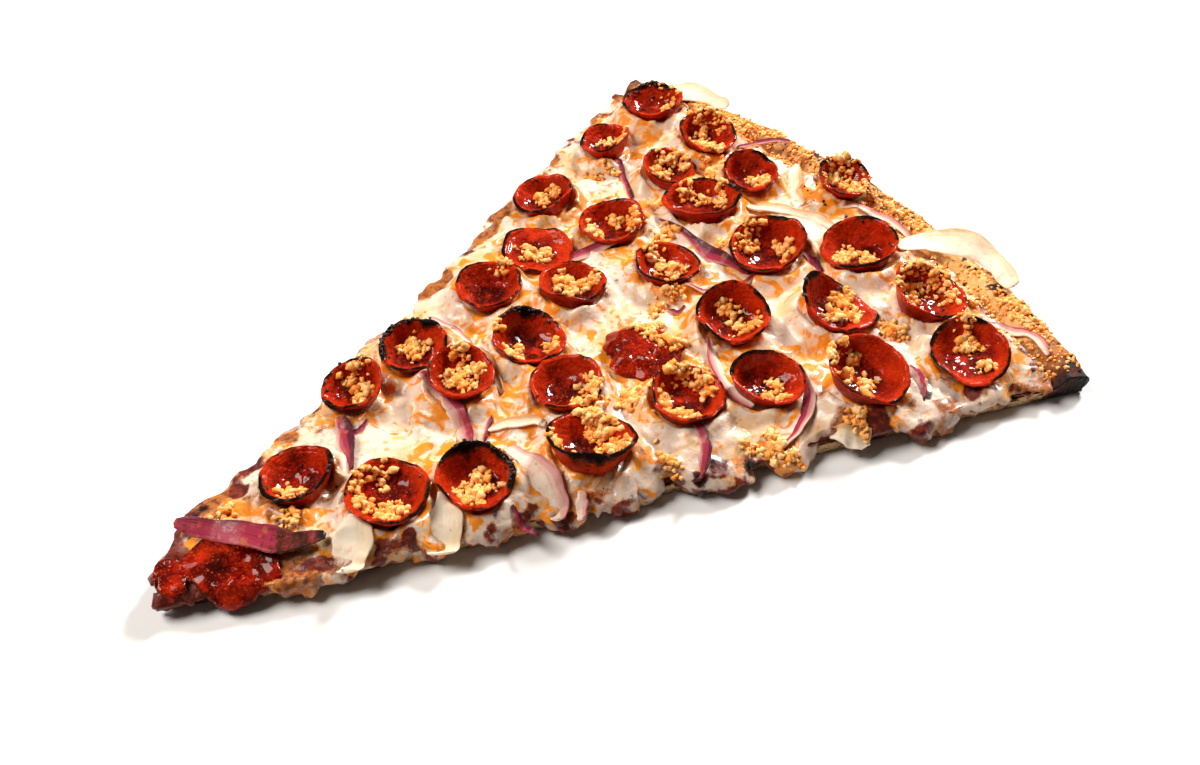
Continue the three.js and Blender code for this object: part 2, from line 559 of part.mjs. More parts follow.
/** A strip of onion bent along its path over the slice, narrow at its ends and hollow in section. */
function makeStrip(name, { finish, path, width, turn, lift = 0 }, ground) {
  const thickness = finish === "white_onion" ? 1.5 : 1.3;
  const steps = 6;
  const curve = new THREE.CatmullRomCurve3(path.map(([x, y]) => new THREE.Vector3(x, y, 0)));
  const geometry = new THREE.BoxGeometry(1, 1, 1, steps, 2, 1);
  const angle = rad(turn);
  reshape(geometry, (u, v, w) => {
    const share = u + 0.5;
    const middle = curve.getPoint(share);
    const tangent = curve.getTangent(share);
    const taper = lerp(0.4, 1, Math.sin(Math.PI * lerp(0.08, 0.92, share)) ** 0.7);
    const across = v * width * taper;
    const hollow = Math.abs(v) * 0.35 * taper;
    const out = w * thickness * lerp(0.7, 1, taper) + hollow;
    const sideways = across * Math.cos(angle) - out * Math.sin(angle);
    const height = across * Math.sin(angle) + out * Math.cos(angle);
    const x = middle.x - tangent.y * sideways;
    const y = middle.y + tangent.x * sideways;
    return [x, y, drapeHeight(ground, middle.x, middle.y) + height];
  });
  const mesh = named(name, geometry, finish);
  mesh.position.z = Math.max(0, missingHeight(mesh, ground, GAP)) + lift;
  return mesh;
}

// ---- The slice -------------------------------------------------------------------------------------

const crust = makeCrust();
const sauce = makeSauce();
const cheese = makeCheese();
const ground = [crust, cheese];
const cups = CUPS.map((cup, i) => makeCup(cup, i, ground));
const flats = Object.entries(FLATS).map(([name, flat]) => makeFlat(name, flat, ground));
const strips = Object.entries(STRIPS).map(([name, strip]) => makeStrip(name, strip, [...ground, ...flats]));

const cheeseLumps = CHEESE_GARLIC.map(([x, y], i) => lump(x, y, surfaceBelow([cheese], x, y), 2, 300 + i));
cheese.geometry = fuse(cheese.geometry, cheeseLumps);

const slice = new THREE.Group();
slice.add(crust, sauce, cheese, ...cups, ...flats, ...strips);
const footprint = new THREE.Box3().setFromObject(slice, true).getCenter(new THREE.Vector3());
slice.position.set(-footprint.x, -footprint.y, 0);

const pizzaSlice = new THREE.Group();
pizzaSlice.add(slice);

export default pizzaSlice;
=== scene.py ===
"""A pepperoni pizza slice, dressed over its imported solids.

Working lengths are millimetres in the slice's own plan: the tip at the origin, +X along the middle
line to the rim, +Y towards the far cut edge and Z up from the underside of the dough. They turn into
metres in the row's frame when a mesh is finished.
"""
import itertools
import logging
import math
from dataclasses import dataclass, field
from enum import Enum
from typing import Sequence

import bmesh
import bpy
import numpy as np
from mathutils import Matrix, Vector
from mathutils.bvhtree import BVHTree


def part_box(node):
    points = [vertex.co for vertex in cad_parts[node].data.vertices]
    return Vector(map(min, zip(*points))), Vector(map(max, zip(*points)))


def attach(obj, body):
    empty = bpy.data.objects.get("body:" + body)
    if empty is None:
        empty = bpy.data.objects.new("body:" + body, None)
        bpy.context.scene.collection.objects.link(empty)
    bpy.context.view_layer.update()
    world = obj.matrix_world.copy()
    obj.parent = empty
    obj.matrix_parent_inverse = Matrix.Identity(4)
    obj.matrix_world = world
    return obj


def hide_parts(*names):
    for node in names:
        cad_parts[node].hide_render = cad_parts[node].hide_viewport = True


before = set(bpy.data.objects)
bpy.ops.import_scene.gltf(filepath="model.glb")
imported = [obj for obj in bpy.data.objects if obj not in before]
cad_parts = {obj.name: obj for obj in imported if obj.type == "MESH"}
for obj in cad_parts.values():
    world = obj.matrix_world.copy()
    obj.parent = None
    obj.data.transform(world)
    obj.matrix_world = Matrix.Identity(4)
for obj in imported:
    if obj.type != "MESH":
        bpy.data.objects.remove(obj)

log = logging.getLogger("pizza_slice")

Array = np.ndarray
Object = bpy.types.Object
Material = bpy.types.Material
BMesh = bmesh.types.BMesh
Socket = bpy.types.NodeSocket
Color = tuple[float, float, float]
Source = Socket | float | Color
Pair = tuple[float, float]
Triple = tuple[float, float, float]
Ring = tuple[Array, Array]

MM = 0.001
TIP_IN_FRAME = np.array([-149.312, -0.358, 0.0])  # where the plan's origin lies in the row's frame

RADIUS = 300.0
RIM_WIDTH = 15.0
RIM_RISE = 3.6
DOUGH = 4.4
SAUCE = 0.8
GAP = 0.3
CHEESE = 3.1
CHEESE_REACH = RADIUS - RIM_WIDTH
CHEESE_UNDERSIDE = DOUGH + SAUCE + 2 * GAP
CUP_WALL = 1.7
CUP_DEPTH = 0.29
CUP_SINK = 1.3


# ---- Numbers ----


def unit(value: Array) -> Array:
    """A value kept between 0 and 1."""
    return np.clip(value, 0.0, 1.0)


def smoothstep(value: Array, low: float, high: float) -> Array:
    """A smooth rise from 0 at low to 1 at high."""
    share = unit((value - low) / (high - low))
    return share * share * (3.0 - 2.0 * share)


def fall(value: Array, low: float, high: float) -> Array:
    """A smooth fall from 1 at low to 0 at high."""
    return 1.0 - smoothstep(value, low, high)


def blend(start: Array, end: Array, share: Array) -> Array:
    """The value a share of the way from start to end."""
    return start + (end - start) * share


def bell(value: Array, at: float, width: float) -> Array:
    """A smooth hill that is 1 in its middle and falls off over a width."""
    return np.exp(-(((value - at) / width) ** 2))


def hills(value: Array, runs: Sequence[Triple]) -> Array:
    """The highest of some smooth hills, each a middle, a width and a height."""
    return np.max([height * bell(value, at, width) for at, width, height in runs], axis=0)


def nearness(x: Array, y: Array, spots: Sequence[Triple]) -> Array:
    """From 0 to 1, how close a point is to one of some spots, each a place and a radius."""
    return np.max([np.exp(-((x - a) ** 2 + (y - b) ** 2) / size**2) for a, b, size in spots], axis=0)


def heading_gap(angle: Array, heading: float) -> Array:
    """How far an angle is from a heading, both in degrees, from 0 to 180."""
    return np.abs((angle - heading + 180.0) % 360.0 - 180.0)


def turned(a: Array, b: Array, angle: float) -> tuple[Array, Array]:
    """Two coordinates turned anticlockwise by an angle in radians."""
    c, s = math.cos(angle), math.sin(angle)
    return a * c - b * s, a * s + b * c


def around(x: float, y: float, away: float, angle: float) -> Pair:
    """The place at a distance from a point, in a direction in radians."""
    return x + away * math.cos(angle), y + away * math.sin(angle)


def in_plan(x: Array, y: Array, z: float | Array = 0.0) -> Array:
    """Places with these coordinates, one in a row."""
    return np.column_stack([x, y, 0 * x + z])


def smoothed(line: Sequence[float], ends: str) -> Array:
    """The running mean over five values, with the ends padded in one of numpy's ways."""
    return np.convolve(np.pad(line, 2, mode=ends), np.ones(5) / 5, mode="valid")


class Noise:
    """Smooth random values over space that are the same on every run."""

    cells = 8192
    primes = np.array((73856093, 19349663, 83492791))

    def __init__(self, seed: int) -> None:
        """Fills the table of random values, which each seed has to itself."""
        self._table = np.random.default_rng(seed).uniform(-1.0, 1.0, self.cells)

    def _layer(self, points: Array) -> Array:
        """One layer of noise with a period of one unit.

        Args:
            points: Places, one in a row.

        Returns:
            One value in a row, from -1 to 1.
        """
        cell = np.floor(points).astype(np.int64)
        share = smoothstep(points - cell, 0.0, 1.0)
        total = np.zeros(len(points))
        for corner in itertools.product((0, 1), repeat=3):
            x, y, z = ((cell + np.array(corner)) * self.primes).T
            weight = np.prod(np.where(corner, share, 1.0 - share), axis=1)
            total += weight * self._table[(x ^ y ^ z) & (self.cells - 1)]
        return total

    def __call__(self, points: Array, size: float, octaves: int = 1) -> Array:
        """Noise at some points.

        Args:
            points: Places in millimetres, one in a row.
            size: Width of the largest features in millimetres.
            octaves: How many layers, each half the size of the one before.

        Returns:
            One value in a row, mostly between -1 and 1.
        """
        total = np.zeros(len(points))
        for octave in range(octaves):
            total += 0.55**octave * self._layer(points * (2.0**octave / size) + 31.7 * octave)
        return total

    def line(self, along: Array, size: float, octaves: int = 1, row: float = 0.0) -> Array:
        """Noise along a line, with a row number that tells one line from another."""
        return self(np.column_stack([along, 0 * along + row * 7.3 * size, 0 * along]), size, octaves)


# ---- Outline of the slice ----


class Outline:
    """The plan of the slice, cut a little bowed on both sides and blunt at the tip."""

    half_angle = math.pi / 8
    blunt = 1.2
    open_spots = ((24.0, 7.0, 1.0), (60.0, 6.0, 1.0), (177.0, 7.0, 1.0), (221.0, 8.0, 1.0))

    @classmethod
    def edge_angles(cls, r: Array) -> tuple[Array, Array]:
        """The angles about the tip of the near and the far cut edge at a radius."""
        near = cls.half_angle + 6.0 * bell(r, 75.0, 95.0) / r
        far = cls.half_angle + (0.8 + 5.5 * bell(r, 25.0, 14.0)) / r
        return -np.minimum(near, cls.blunt), np.minimum(far, cls.blunt)

    @classmethod
    def inside_by(cls, x: Array, y: Array) -> Array:
        """How far a point lies inside the nearest cut edge, in millimetres."""
        r, angle = np.hypot(x, y), np.arctan2(y, x)
        near, far = cls.edge_angles(np.maximum(r, 1.0))
        return r * np.minimum(angle - near, far - angle)

    @classmethod
    def openness(cls, r: Array) -> Array:
        """From 0 to 1, how free of cheese the near cut edge is at a radius."""
        return hills(r, cls.open_spots)


# ---- Mesh helpers ----


def add_object(name: str, data: bpy.types.ID, finish: Material | None = None) -> Object:
    """Links a new object to the scene, in its material where it has one.

    Args:
        name: Its name.
        data: Its mesh, light or camera.
        finish: Its material.

    Returns:
        The object, at the origin.
    """
    made = bpy.data.objects.new(name, data)
    bpy.context.scene.collection.objects.link(made)
    if finish:
        data.materials.append(finish)
    return made


class Body:
    """A mesh under construction, with its vertices' places and named values as arrays."""

    def __init__(self, bm: BMesh) -> None:
        """Takes over a bmesh whose faces are final."""
        self.bm = bm
        self.values: dict[str, Array] = {}
        bm.verts.index_update()

    @classmethod
    def sheet(cls, across: int, along: int) -> "tuple[Body, Array, Array]":
        """A flat grid to roll up, and how far across and along it each vertex lies, from 0 to 1."""
        bm = bmesh.new()
        bmesh.ops.create_grid(bm, x_segments=across, y_segments=along, size=0.5)
        body = cls(bm)
        return body, *(body.places[:, :2] + 0.5).T

    @property
    def places(self) -> Array:
        """Every vertex's place, one in a row."""
        return np.array([v.co[:] for v in self.bm.verts])

    @places.setter
    def places(self, new: Array) -> None:
        """Moves every vertex."""
        for vert, co in zip(self.bm.verts, new):
            vert.co = co

    def to_object(self, name: str, finish: Material, weld: float = 0.0) -> Object:
        """Makes the finished object in the row's frame.

        Args:
            name: The object's name.
            finish: Its material.
            weld: Distance in millimetres within which vertices are merged first.

        Returns:
            The object, linked to the scene, at the origin.
        """
        layers = {key: self.bm.verts.layers.float.new(key) for key in self.values}
        for key, layer in layers.items():
            for vert, value in zip(self.bm.verts, self.values[key]):
                vert[layer] = float(value)
        if weld:
            bmesh.ops.remove_doubles(self.bm, verts=self.bm.verts, dist=weld)
        for vert in self.bm.verts:
            vert.co = (vert.co + Vector(TIP_IN_FRAME)) * MM
        bmesh.ops.recalc_face_normals(self.bm, faces=self.bm.faces)
        for face in self.bm.faces:
            face.smooth = True
        mesh = bpy.data.meshes.new(name)
        self.bm.to_mesh(mesh)
        self.bm.free()
        return add_object(name, mesh, finish)


def plan_tree(pieces: Sequence[Object]) -> BVHTree:
    """A search tree over some finished pieces, in plan millimetres.

    Args:
        pieces: The pieces.

    Returns:
        The tree.
    """
    verts: list[Vector] = []
    faces: list[tuple[int, ...]] = []
    for piece in pieces:
        start = len(verts)
        verts += [v.co / MM - Vector(TIP_IN_FRAME) for v in piece.data.vertices]
        faces += [tuple(start + i for i in p.vertices) for p in piece.data.polygons]
    return BVHTree.FromPolygons(verts, faces)


def height_at(tree: BVHTree, x: float, y: float, from_below: bool = False) -> float | None:
    """The first height met when looking straight down at a point, or straight up from below."""
    start, way = (-5.0, 1.0) if from_below else (60.0, -1.0)
    hit = tree.ray_cast(Vector((x, y, start)), Vector((0.0, 0.0, way)))[0]
    return None if hit is None else hit.z


def settle_on_body(piece: Object, slot: str, *nodes: str) -> Object:
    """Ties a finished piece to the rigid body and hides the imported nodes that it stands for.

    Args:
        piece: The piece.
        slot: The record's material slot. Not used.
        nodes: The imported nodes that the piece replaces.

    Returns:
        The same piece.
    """
    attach(piece, "root")
    if nodes:
        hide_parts(*nodes)
    log.info("%s: %d faces", piece.name, len(piece.data.polygons))
    return piece


# ---- Finishes ----


def per_metre(size: Source) -> Source:
    """The scale of features of a size in millimetres, or the socket that gives the scale."""
    return size if isinstance(size, Socket) else 1000.0 / size


class Graph:
    """Adds nodes to the tree of a material, a world or a node group, and links them."""

    def __init__(self, tree: bpy.types.NodeTree) -> None:
        """Starts on a node tree."""
        self.tree = tree

    def feed(self, socket: Socket, value: Source) -> None:
        """Links a socket to another one, or sets its value."""
        if isinstance(value, Socket):
            self.tree.links.new(value, socket)
        else:
            socket.default_value = (*value, 1.0) if socket.type == "RGBA" else value

    def node(self, kind: str, inputs: dict | None = None, **settings: object) -> bpy.types.Node:
        """Adds a node.

        Args:
            kind: The node's type.
            inputs: What feeds each socket, by the socket's name or number.
            settings: The node's own properties.

        Returns:
            The node.
        """
        made = self.tree.nodes.new(kind)
        for key, value in settings.items():
            setattr(made, key, value)
        for key, value in (inputs or {}).items():
            self.feed(made.inputs[key], value)
        return made

    def attribute(self, name: str) -> Socket:
        """A value stored on the mesh."""
        return self.node("ShaderNodeAttribute", attribute_name=name).outputs["Fac"]

    def place(self) -> Socket:
        """The object's own coordinates, in metres."""
        return self.node("ShaderNodeTexCoord").outputs["Object"]

    def noise(self, size: Source, detail: float = 3.0, rough: float = 0.55, twist: float = 0.0,
              where: Socket | None = None) -> Socket:
        """Noise from 0 to 1.

        Args:
            size: Width of its features in millimetres, or a socket that gives its scale.
            detail: How many finer layers lie over the first.
            rough: How strong the finer layers are.
            twist: How far the noise is bent by itself.
            where: Its coordinates, where they aren't the object's own.

        Returns:
            The noise.
        """
        inputs = {"Vector": where or self.place(), "Scale": per_metre(size), "Detail": detail,
                  "Roughness": rough, "Distortion": twist}
        return self.node("ShaderNodeTexNoise", inputs).outputs["Fac"]

    def cells(self, size: Source) -> dict[str, Socket]:
        """Distance to the nearest of scattered points, in cells, and a colour for each point."""
        return self.node("ShaderNodeTexVoronoi", {"Vector": self.place(), "Scale": per_metre(size)}).outputs

    def math(self, operation: str, a: Source, b: Source, clamp: bool = False) -> Socket:
        """The result of a maths operation."""
        return self.node("ShaderNodeMath", {0: a, 1: b}, operation=operation, use_clamp=clamp).outputs[0]

    def add(self, a: Source, b: Source) -> Socket:
        """The sum."""
        return self.math("ADD", a, b)

    def times(self, a: Source, b: Source) -> Socket:
        """The product."""
        return self.math("MULTIPLY", a, b)

    def stray(self, base: Source, wave: Socket, reach: float) -> Socket:
        """A value that noise takes up and down, over a reach in all."""
        return self.add(base, self.times(self.math("SUBTRACT", wave, 0.5), reach))

    def span(self, value: Source, low: Source, high: Source, to_low: float = 0.0, to_high: float = 1.0,
             curve: str = "SMOOTHSTEP") -> Socket:
        """A value mapped smoothly from the range low to high to another range."""
        inputs = {"Value": value, "From Min": low, "From Max": high, "To Min": to_low, "To Max": to_high}
        return self.node("ShaderNodeMapRange", inputs, interpolation_type=curve).outputs["Result"]

    def mix(self, share: Source, a: Source, b: Source) -> Socket:
        """The colour a share of the way from a to b."""
        return self.node("ShaderNodeMix", {0: share, 6: a, 7: b}, data_type="RGBA").outputs[2]

    def bump(self, height: Source, depth: float, strength: float) -> Socket:
        """A normal that shows a height, which counts depth millimetres for each unit."""
        inputs = {"Height": height, "Distance": depth * MM, "Strength": strength}
        return self.node("ShaderNodeBump", inputs).outputs["Normal"]


class Effect(Graph):
    """A node group for an effect that several finishes share, made once."""

    def __init__(self, name: str, inputs: Sequence[str], outputs: Sequence[str]) -> None:
        """Starts the group. A socket with the name Color is a colour, and all others are numbers.

        Args:
            name: The group's name.
            inputs: The names of what it takes.
            outputs: The names of what it gives.
        """
        super().__init__(bpy.data.node_groups.new(name, "ShaderNodeTree"))
        for way, keys in (("INPUT", inputs), ("OUTPUT", outputs)):
            for key in keys:
                kind = "NodeSocketColor" if key == "Color" else "NodeSocketFloat"
                self.tree.interface.new_socket(key, in_out=way, socket_type=kind)
        self.given = self.node("NodeGroupInput").outputs
        self.end = self.node("NodeGroupOutput")

    def give(self, **outputs: Socket) -> bpy.types.NodeTree:
        """Links what the group gives, and returns its tree."""
        for key, value in outputs.items():
            self.feed(self.end.inputs[key], value)
        return self.tree

    @classmethod
    def charring(cls) -> bpy.types.NodeTree:
        """Colour going brown and then black where a mask says that the surface is burnt.

        Returns:
            The group's tree.
        """
        g = cls("Charring", ("Color", "Mask", "Grain"), ("Color", "Burnt", "Height"))
        coarse = g.noise(g.given["Grain"], 4.0, 0.65)
        ragged = g.stray(g.given["Mask"], coarse, 0.9)
        brown = g.span(ragged, 0.22, 0.55)
        black = g.span(ragged, 0.48, 0.82)
        tanned = g.mix(brown, g.given["Color"], (0.085, 0.014, 0.004))
        burnt = g.mix(black, tanned, (0.0065, 0.0035, 0.0028))
        return g.give(Color=burnt, Burnt=black, Height=g.times(coarse, brown))

    @classmethod
    def oil(cls) -> bpy.types.NodeTree:
        """Patches and runs of orange oil: a mask that grows with an amount.

        Returns:
            The group's tree.
        """
        g = cls("Oil", ("Amount", "Scale"), ("Mask",))
        level = g.math("SUBTRACT", 0.73, g.times(g.given["Amount"], 0.34))
        return g.give(Mask=g.span(g.noise(g.given["Scale"], 4.0, 0.5, 1.5), level, g.add(level, 0.095)))

    @classmethod
    def specks(cls) -> bpy.types.NodeTree:
        """Small scattered specks: a mask whose specks have a scale and a share of the cell.

        Returns:
            The group's tree.
        """
        g = cls("Specks", ("Scale", "Share"), ("Mask",))
        spots = g.cells(g.given["Scale"])
        size = g.times(spots["Color"], g.given["Share"])
        return g.give(Mask=g.span(spots["Distance"], g.add(size, 0.06), size, curve="LINEAR"))


CHARRING, OIL, SPECKS = Effect.charring(), Effect.oil(), Effect.specks()


class Finish(Graph):
    """A material on a Principled BSDF, with the shared effects at hand."""

    def __init__(self, name: str) -> None:
        """Starts the material under a name."""
        self.material = bpy.data.materials.new(name)
        self.material.use_nodes = True
        super().__init__(self.material.node_tree)

    def effect(self, group: bpy.types.NodeTree, **inputs: Source) -> dict[str, Socket]:
        """What a shared effect gives for some inputs."""
        return self.node("ShaderNodeGroup", inputs, node_tree=group).outputs

    def char(self, color: Source, grain: float) -> dict[str, Socket]:
        """A colour charred by the mesh's own mask: the new colour, how burnt it is and a height."""
        return self.effect(CHARRING, Color=color, Mask=self.attribute("char"), Grain=per_metre(grain))

    def oil(self, amount: Source, size: float) -> Socket:
        """A mask of oil patches."""
        return self.effect(OIL, Amount=amount, Scale=per_metre(size))["Mask"]

    def specks(self, size: float, share: float) -> Socket:
        """A mask of small specks."""
        return self.effect(SPECKS, Scale=per_metre(size), Share=share)["Mask"]

    def dress(self, **sockets: Source) -> Material:
        """Feeds the shader's sockets, named with underscores, and returns the material."""
        shader = self.tree.nodes["Principled BSDF"]
        for key, value in sockets.items():
            self.feed(shader.inputs[key.replace("_", " ")], value)
        return self.material


@dataclass(frozen=True)
class CheeseFinish:
    """Melted cheese: creamy, stained with orange oil, toasted brown in spots, thin over the sauce, and
    darkened with painted shade down the near cut face.
    """

    cream: Color = (0.77, 0.605, 0.48)
    butter: Color = (0.77, 0.50, 0.26)
    shade_grey: Color = (0.42, 0.30, 0.25)
    wash: Color = (0.84, 0.43, 0.12)
    oil: Color = (0.80, 0.25, 0.008)
    toast: Color = (0.42, 0.135, 0.026)
    scorch: Color = (0.17, 0.038, 0.010)
    sauce: Color = (0.075, 0.006, 0.003)
    pulp: Color = (0.22, 0.026, 0.008)

    def make(self) -> Material:
        """Makes the material.

        Returns:
            The material.
        """
        f = Finish("melted_cheese")
        near_cup = f.attribute("oiled")
        color = f.mix(f.span(f.noise(12.0, 4.0, 0.6), 0.46, 0.66), self.cream, self.butter)
        # Painted shade: the cut mask darkens the near cut face towards a dull shade colour, and faint random
        # patches of that colour lie over the rest of the top.
        veil = f.span(f.noise(16.0), 0.5, 0.68)
        shade = f.math("ADD", f.attribute("cut"), f.times(veil, 0.22), clamp=True)
        color = f.mix(f.times(shade, 0.75), color, self.shade_grey)
        halo = f.oil(f.add(f.times(near_cup, 0.8), 0.06), 10.5)
        color = f.mix(f.times(halo, 0.72), color, self.wash)
        color = f.mix(f.oil(f.times(near_cup, 0.97), 6.2), color, self.oil)
        color = f.mix(f.times(f.specks(3.4, 0.26), 0.55), color, self.oil)
        fine = f.noise(2.8, 5.0, 0.68)
        toasting = f.mix(f.span(f.noise(1.9, 4.0, 0.62), 0.42, 0.62), self.toast, self.scorch)
        color = f.mix(f.span(f.stray(f.attribute("toasted"), fine, 1.2), 0.4, 0.78), color, toasting)
        sauced = f.span(f.stray(f.attribute("thin"), f.noise(5.0, 4.0, 0.65), 1.2), 0.5, 0.78)
        pulpy = f.mix(f.span(f.noise(2.2, 4.0, 0.65), 0.42, 0.64), self.sauce, self.pulp)
        relief = f.add(f.times(f.noise(2.2, 4.0, 0.6), 0.6), f.times(fine, 0.4))
        return f.dress(
            Base_Color=f.char(f.mix(sauced, color, pulpy), 1.8)["Color"],
            Roughness=f.span(f.noise(4.0), 0.3, 0.7, 0.3, 0.5),
            Normal=f.bump(relief, 0.8, 0.75), Specular_IOR_Level=0.3,
            Subsurface_Weight=0.22, Subsurface_Radius=(1.0, 0.55, 0.28), Subsurface_Scale=0.0014,
            Coat_Weight=f.span(sauced, 0.0, 1.0, 0.42, 0.12), Coat_Roughness=0.14,
        )


@dataclass(frozen=True)
class PepperoniFinish:
    """Cured sausage: deep red and oily, mottled, with brighter grains and a charred rim; its walls carry
    painted light shining through them, and its hollows are darkened partly by collected fat and partly by
    painted shade.
    """

    name: str = "pepperoni"
    pool: Color = (0.060, 0.0016, 0.0006)
    deep: Color = (0.19, 0.0030, 0.0006)
    bright: Color = (0.42, 0.014, 0.0015)
    painted_glow: Color = (0.60, 0.036, 0.004)
    grain: Color = (0.60, 0.070, 0.014)
    grainy: float = 0.4
    gloss: float = 0.42
    depth: float = 0.6

    def make(self) -> Material:
        """Makes the material.

        Returns:
            The material.
        """
        f = Finish(self.name)
        mottle = f.noise(3.2, 5.0, 0.62, 0.4)
        color = f.mix(f.span(mottle, 0.4, 0.6), self.deep, self.bright)
        # Painted light: the wall mask brightens the walls towards orange red, as light shining through the
        # thin sausage.
        color = f.mix(f.times(f.attribute("wall"), 0.6), color, self.painted_glow)
        # This mask darkens each cup's floor to maroon: partly fat that has collected there, partly painted
        # shade in the hollow.
        pool = f.attribute("pool")
        color = f.mix(f.times(pool, f.span(f.noise(5.0, 2.0), 0.3, 0.55)), color, self.pool)
        color = f.mix(f.times(f.specks(0.9, 0.42), self.grainy), color, self.grain)
        charred = f.char(color, 1.3)
        height = f.add(f.noise(1.0, 4.0, 0.6), f.times(f.cells(1.5)["Distance"], 0.5))
        height = f.add(height, f.times(charred["Height"], 1.2))
        wet = f.span(f.add(pool, mottle), 0.3, 1.1, 0.3, 1.0)
        return f.dress(
            Base_Color=charred["Color"], Roughness=f.span(charred["Burnt"], 0.0, 1.0, 0.42, 0.75),
            Normal=f.bump(height, self.depth, 0.9), Specular_IOR_Level=0.02,
            Subsurface_Weight=0.08, Subsurface_Radius=(1.0, 0.1, 0.03), Subsurface_Scale=0.0012,
            Coat_Weight=f.times(wet, f.span(charred["Burnt"], 0.0, 0.6, self.gloss, 0.05)),
            Coat_Roughness=0.09,
        )


@dataclass(frozen=True)
class GarlicFinish:
    """Roasted minced garlic: golden, pale inside and tanned where it caught the heat."""

    pale: Color = (1.0, 0.595, 0.23)
    golden: Color = (1.0, 0.385, 0.066)
    tan: Color = (0.84, 0.225, 0.024)

    def make(self) -> Material:
        """Makes the material.

        Returns:
            The material.
        """
        f = Finish("roasted_garlic")
        tone = f.attribute("tone")
        spread = f.stray(tone, f.noise(1.3, 4.0, 0.6), 1.1)
        color = f.mix(f.span(spread, 0.1, 0.5), self.pale, self.golden)
        color = f.mix(f.span(spread, 0.6, 1.0), color, self.tan)
        return f.dress(
            Base_Color=f.char(color, 1.0)["Color"], Roughness=f.span(tone, 0.0, 1.0, 0.34, 0.55),
            Normal=f.bump(f.noise(0.8, 4.0, 0.65), 0.35, 0.7), Specular_IOR_Level=0.15,
            Subsurface_Weight=0.15, Subsurface_Radius=(1.0, 0.45, 0.12), Subsurface_Scale=0.0008,
            Coat_Weight=0.22, Coat_Roughness=0.14,
        )


@dataclass(frozen=True)
class OnionFinish:
    """Softened onion: a coloured outer edge over pale flesh, streaked along its length."""

    name: str
    edge: Color
    flesh: Color
    heart: Color
    dark: Color
    warm: Color = (0.66, 0.26, 0.05)

    def make(self) -> Material:
        """Makes the material.

        Returns:
            The material.
        """
        f = Finish(self.name)
        along, across = f.times(f.attribute("along"), 0.00008), f.times(f.attribute("across"), 0.006)
        lane = {"X": across, "Y": along, "Z": f.attribute("which")}
        streaks = f.noise(0.8, 3.0, 0.6, 0.1, where=f.node("ShaderNodeCombineXYZ", lane).outputs[0])
        skin = f.stray(f.attribute("pale"), streaks, 0.55)
        color = f.mix(f.span(skin, -0.1, 0.12), self.dark, self.edge)
        color = f.mix(f.span(skin, 0.3, 0.62), color, self.flesh)
        color = f.mix(f.span(skin, 0.65, 0.95), color, self.heart)
        color = f.mix(f.times(f.span(f.noise(3.0), 0.54, 0.7), 0.3), color, self.warm)
        return f.dress(
            Base_Color=f.char(color, 1.2)["Color"], Roughness=f.span(streaks, 0.3, 0.7, 0.35, 0.55),
            Normal=f.bump(f.add(streaks, f.noise(1.6)), 0.2, 0.7), Specular_IOR_Level=0.15,
            Subsurface_Weight=0.3, Subsurface_Radius=(1.0, 0.5, 0.5), Subsurface_Scale=0.0012,
            Coat_Weight=f.span(f.noise(2.4), 0.45, 0.7, 0.03, 0.35), Coat_Roughness=0.14,
        )


@dataclass(frozen=True)
class CrustFinish:
    """Baked dough: golden to brown on the rim, pale crumb at the cut, floury and spotted underneath."""

    crumb: Color = (0.68, 0.46, 0.24)
    pore_shade: Color = (0.50, 0.27, 0.10)
    golden: Color = (0.78, 0.46, 0.16)
    brown: Color = (0.34, 0.11, 0.025)
    flour: Color = (0.74, 0.58, 0.38)
    base: Color = (0.50, 0.25, 0.08)
    sauce: Color = (0.12, 0.010, 0.003)

    def make(self) -> Material:
        """Makes the material.

        Returns:
            The material.
        """
        f = Finish("baked_dough")
        cut, sauced = f.attribute("cut"), f.attribute("sauced")
        bake = f.stray(f.attribute("bake"), f.noise(4.0, 5.0, 0.62), 1.7)
        color = f.mix(f.span(bake, 0.25, 0.62), self.golden, self.brown)
        color = f.mix(f.times(f.specks(2.6, 0.3), 0.3), color, self.crumb)
        # Painted shade in the crumb: the cut faces darken where the bump sinks into the holes of the crumb.
        pores = f.cells(1.3)["Distance"]
        color = f.mix(cut, color, f.mix(f.span(pores, 0.15, 0.5), self.pore_shade, self.crumb))
        spotted = f.mix(f.span(f.noise(9.0, 5.0, 0.6), 0.45, 0.62), self.flour, self.base)
        color = f.mix(f.attribute("under"), color, spotted)
        color = f.mix(sauced, color, self.sauce)
        height = f.add(f.noise(1.8, 5.0, 0.65), f.times(f.times(pores, cut), 1.4))
        return f.dress(
            Base_Color=f.char(color, 2.2)["Color"], Roughness=f.span(sauced, 0.0, 1.0, 0.72, 0.3),
            Normal=f.bump(height, 0.7, 0.7), Specular_IOR_Level=0.25,
            Subsurface_Weight=0.08, Subsurface_Radius=(1.0, 0.5, 0.25), Subsurface_Scale=0.001,
        )


@dataclass(frozen=True)
class SauceFinish:
    """Tomato sauce: dark red, pulpy and wet."""

    bright: Color = (0.30, 0.022, 0.006)
    dark: Color = (0.09, 0.008, 0.004)

    def make(self) -> Material:
        """Makes the material.

        Returns:
            The material.
        """
        f = Finish("tomato_sauce")
        pulp = f.noise(2.4, 5.0, 0.65)
        return f.dress(
            Base_Color=f.mix(f.span(pulp, 0.35, 0.65), self.dark, self.bright),
            Roughness=f.span(pulp, 0.3, 0.7, 0.22, 0.45), Normal=f.bump(pulp, 0.6, 0.8),
            Coat_Weight=0.4, Coat_Roughness=0.15,
        )


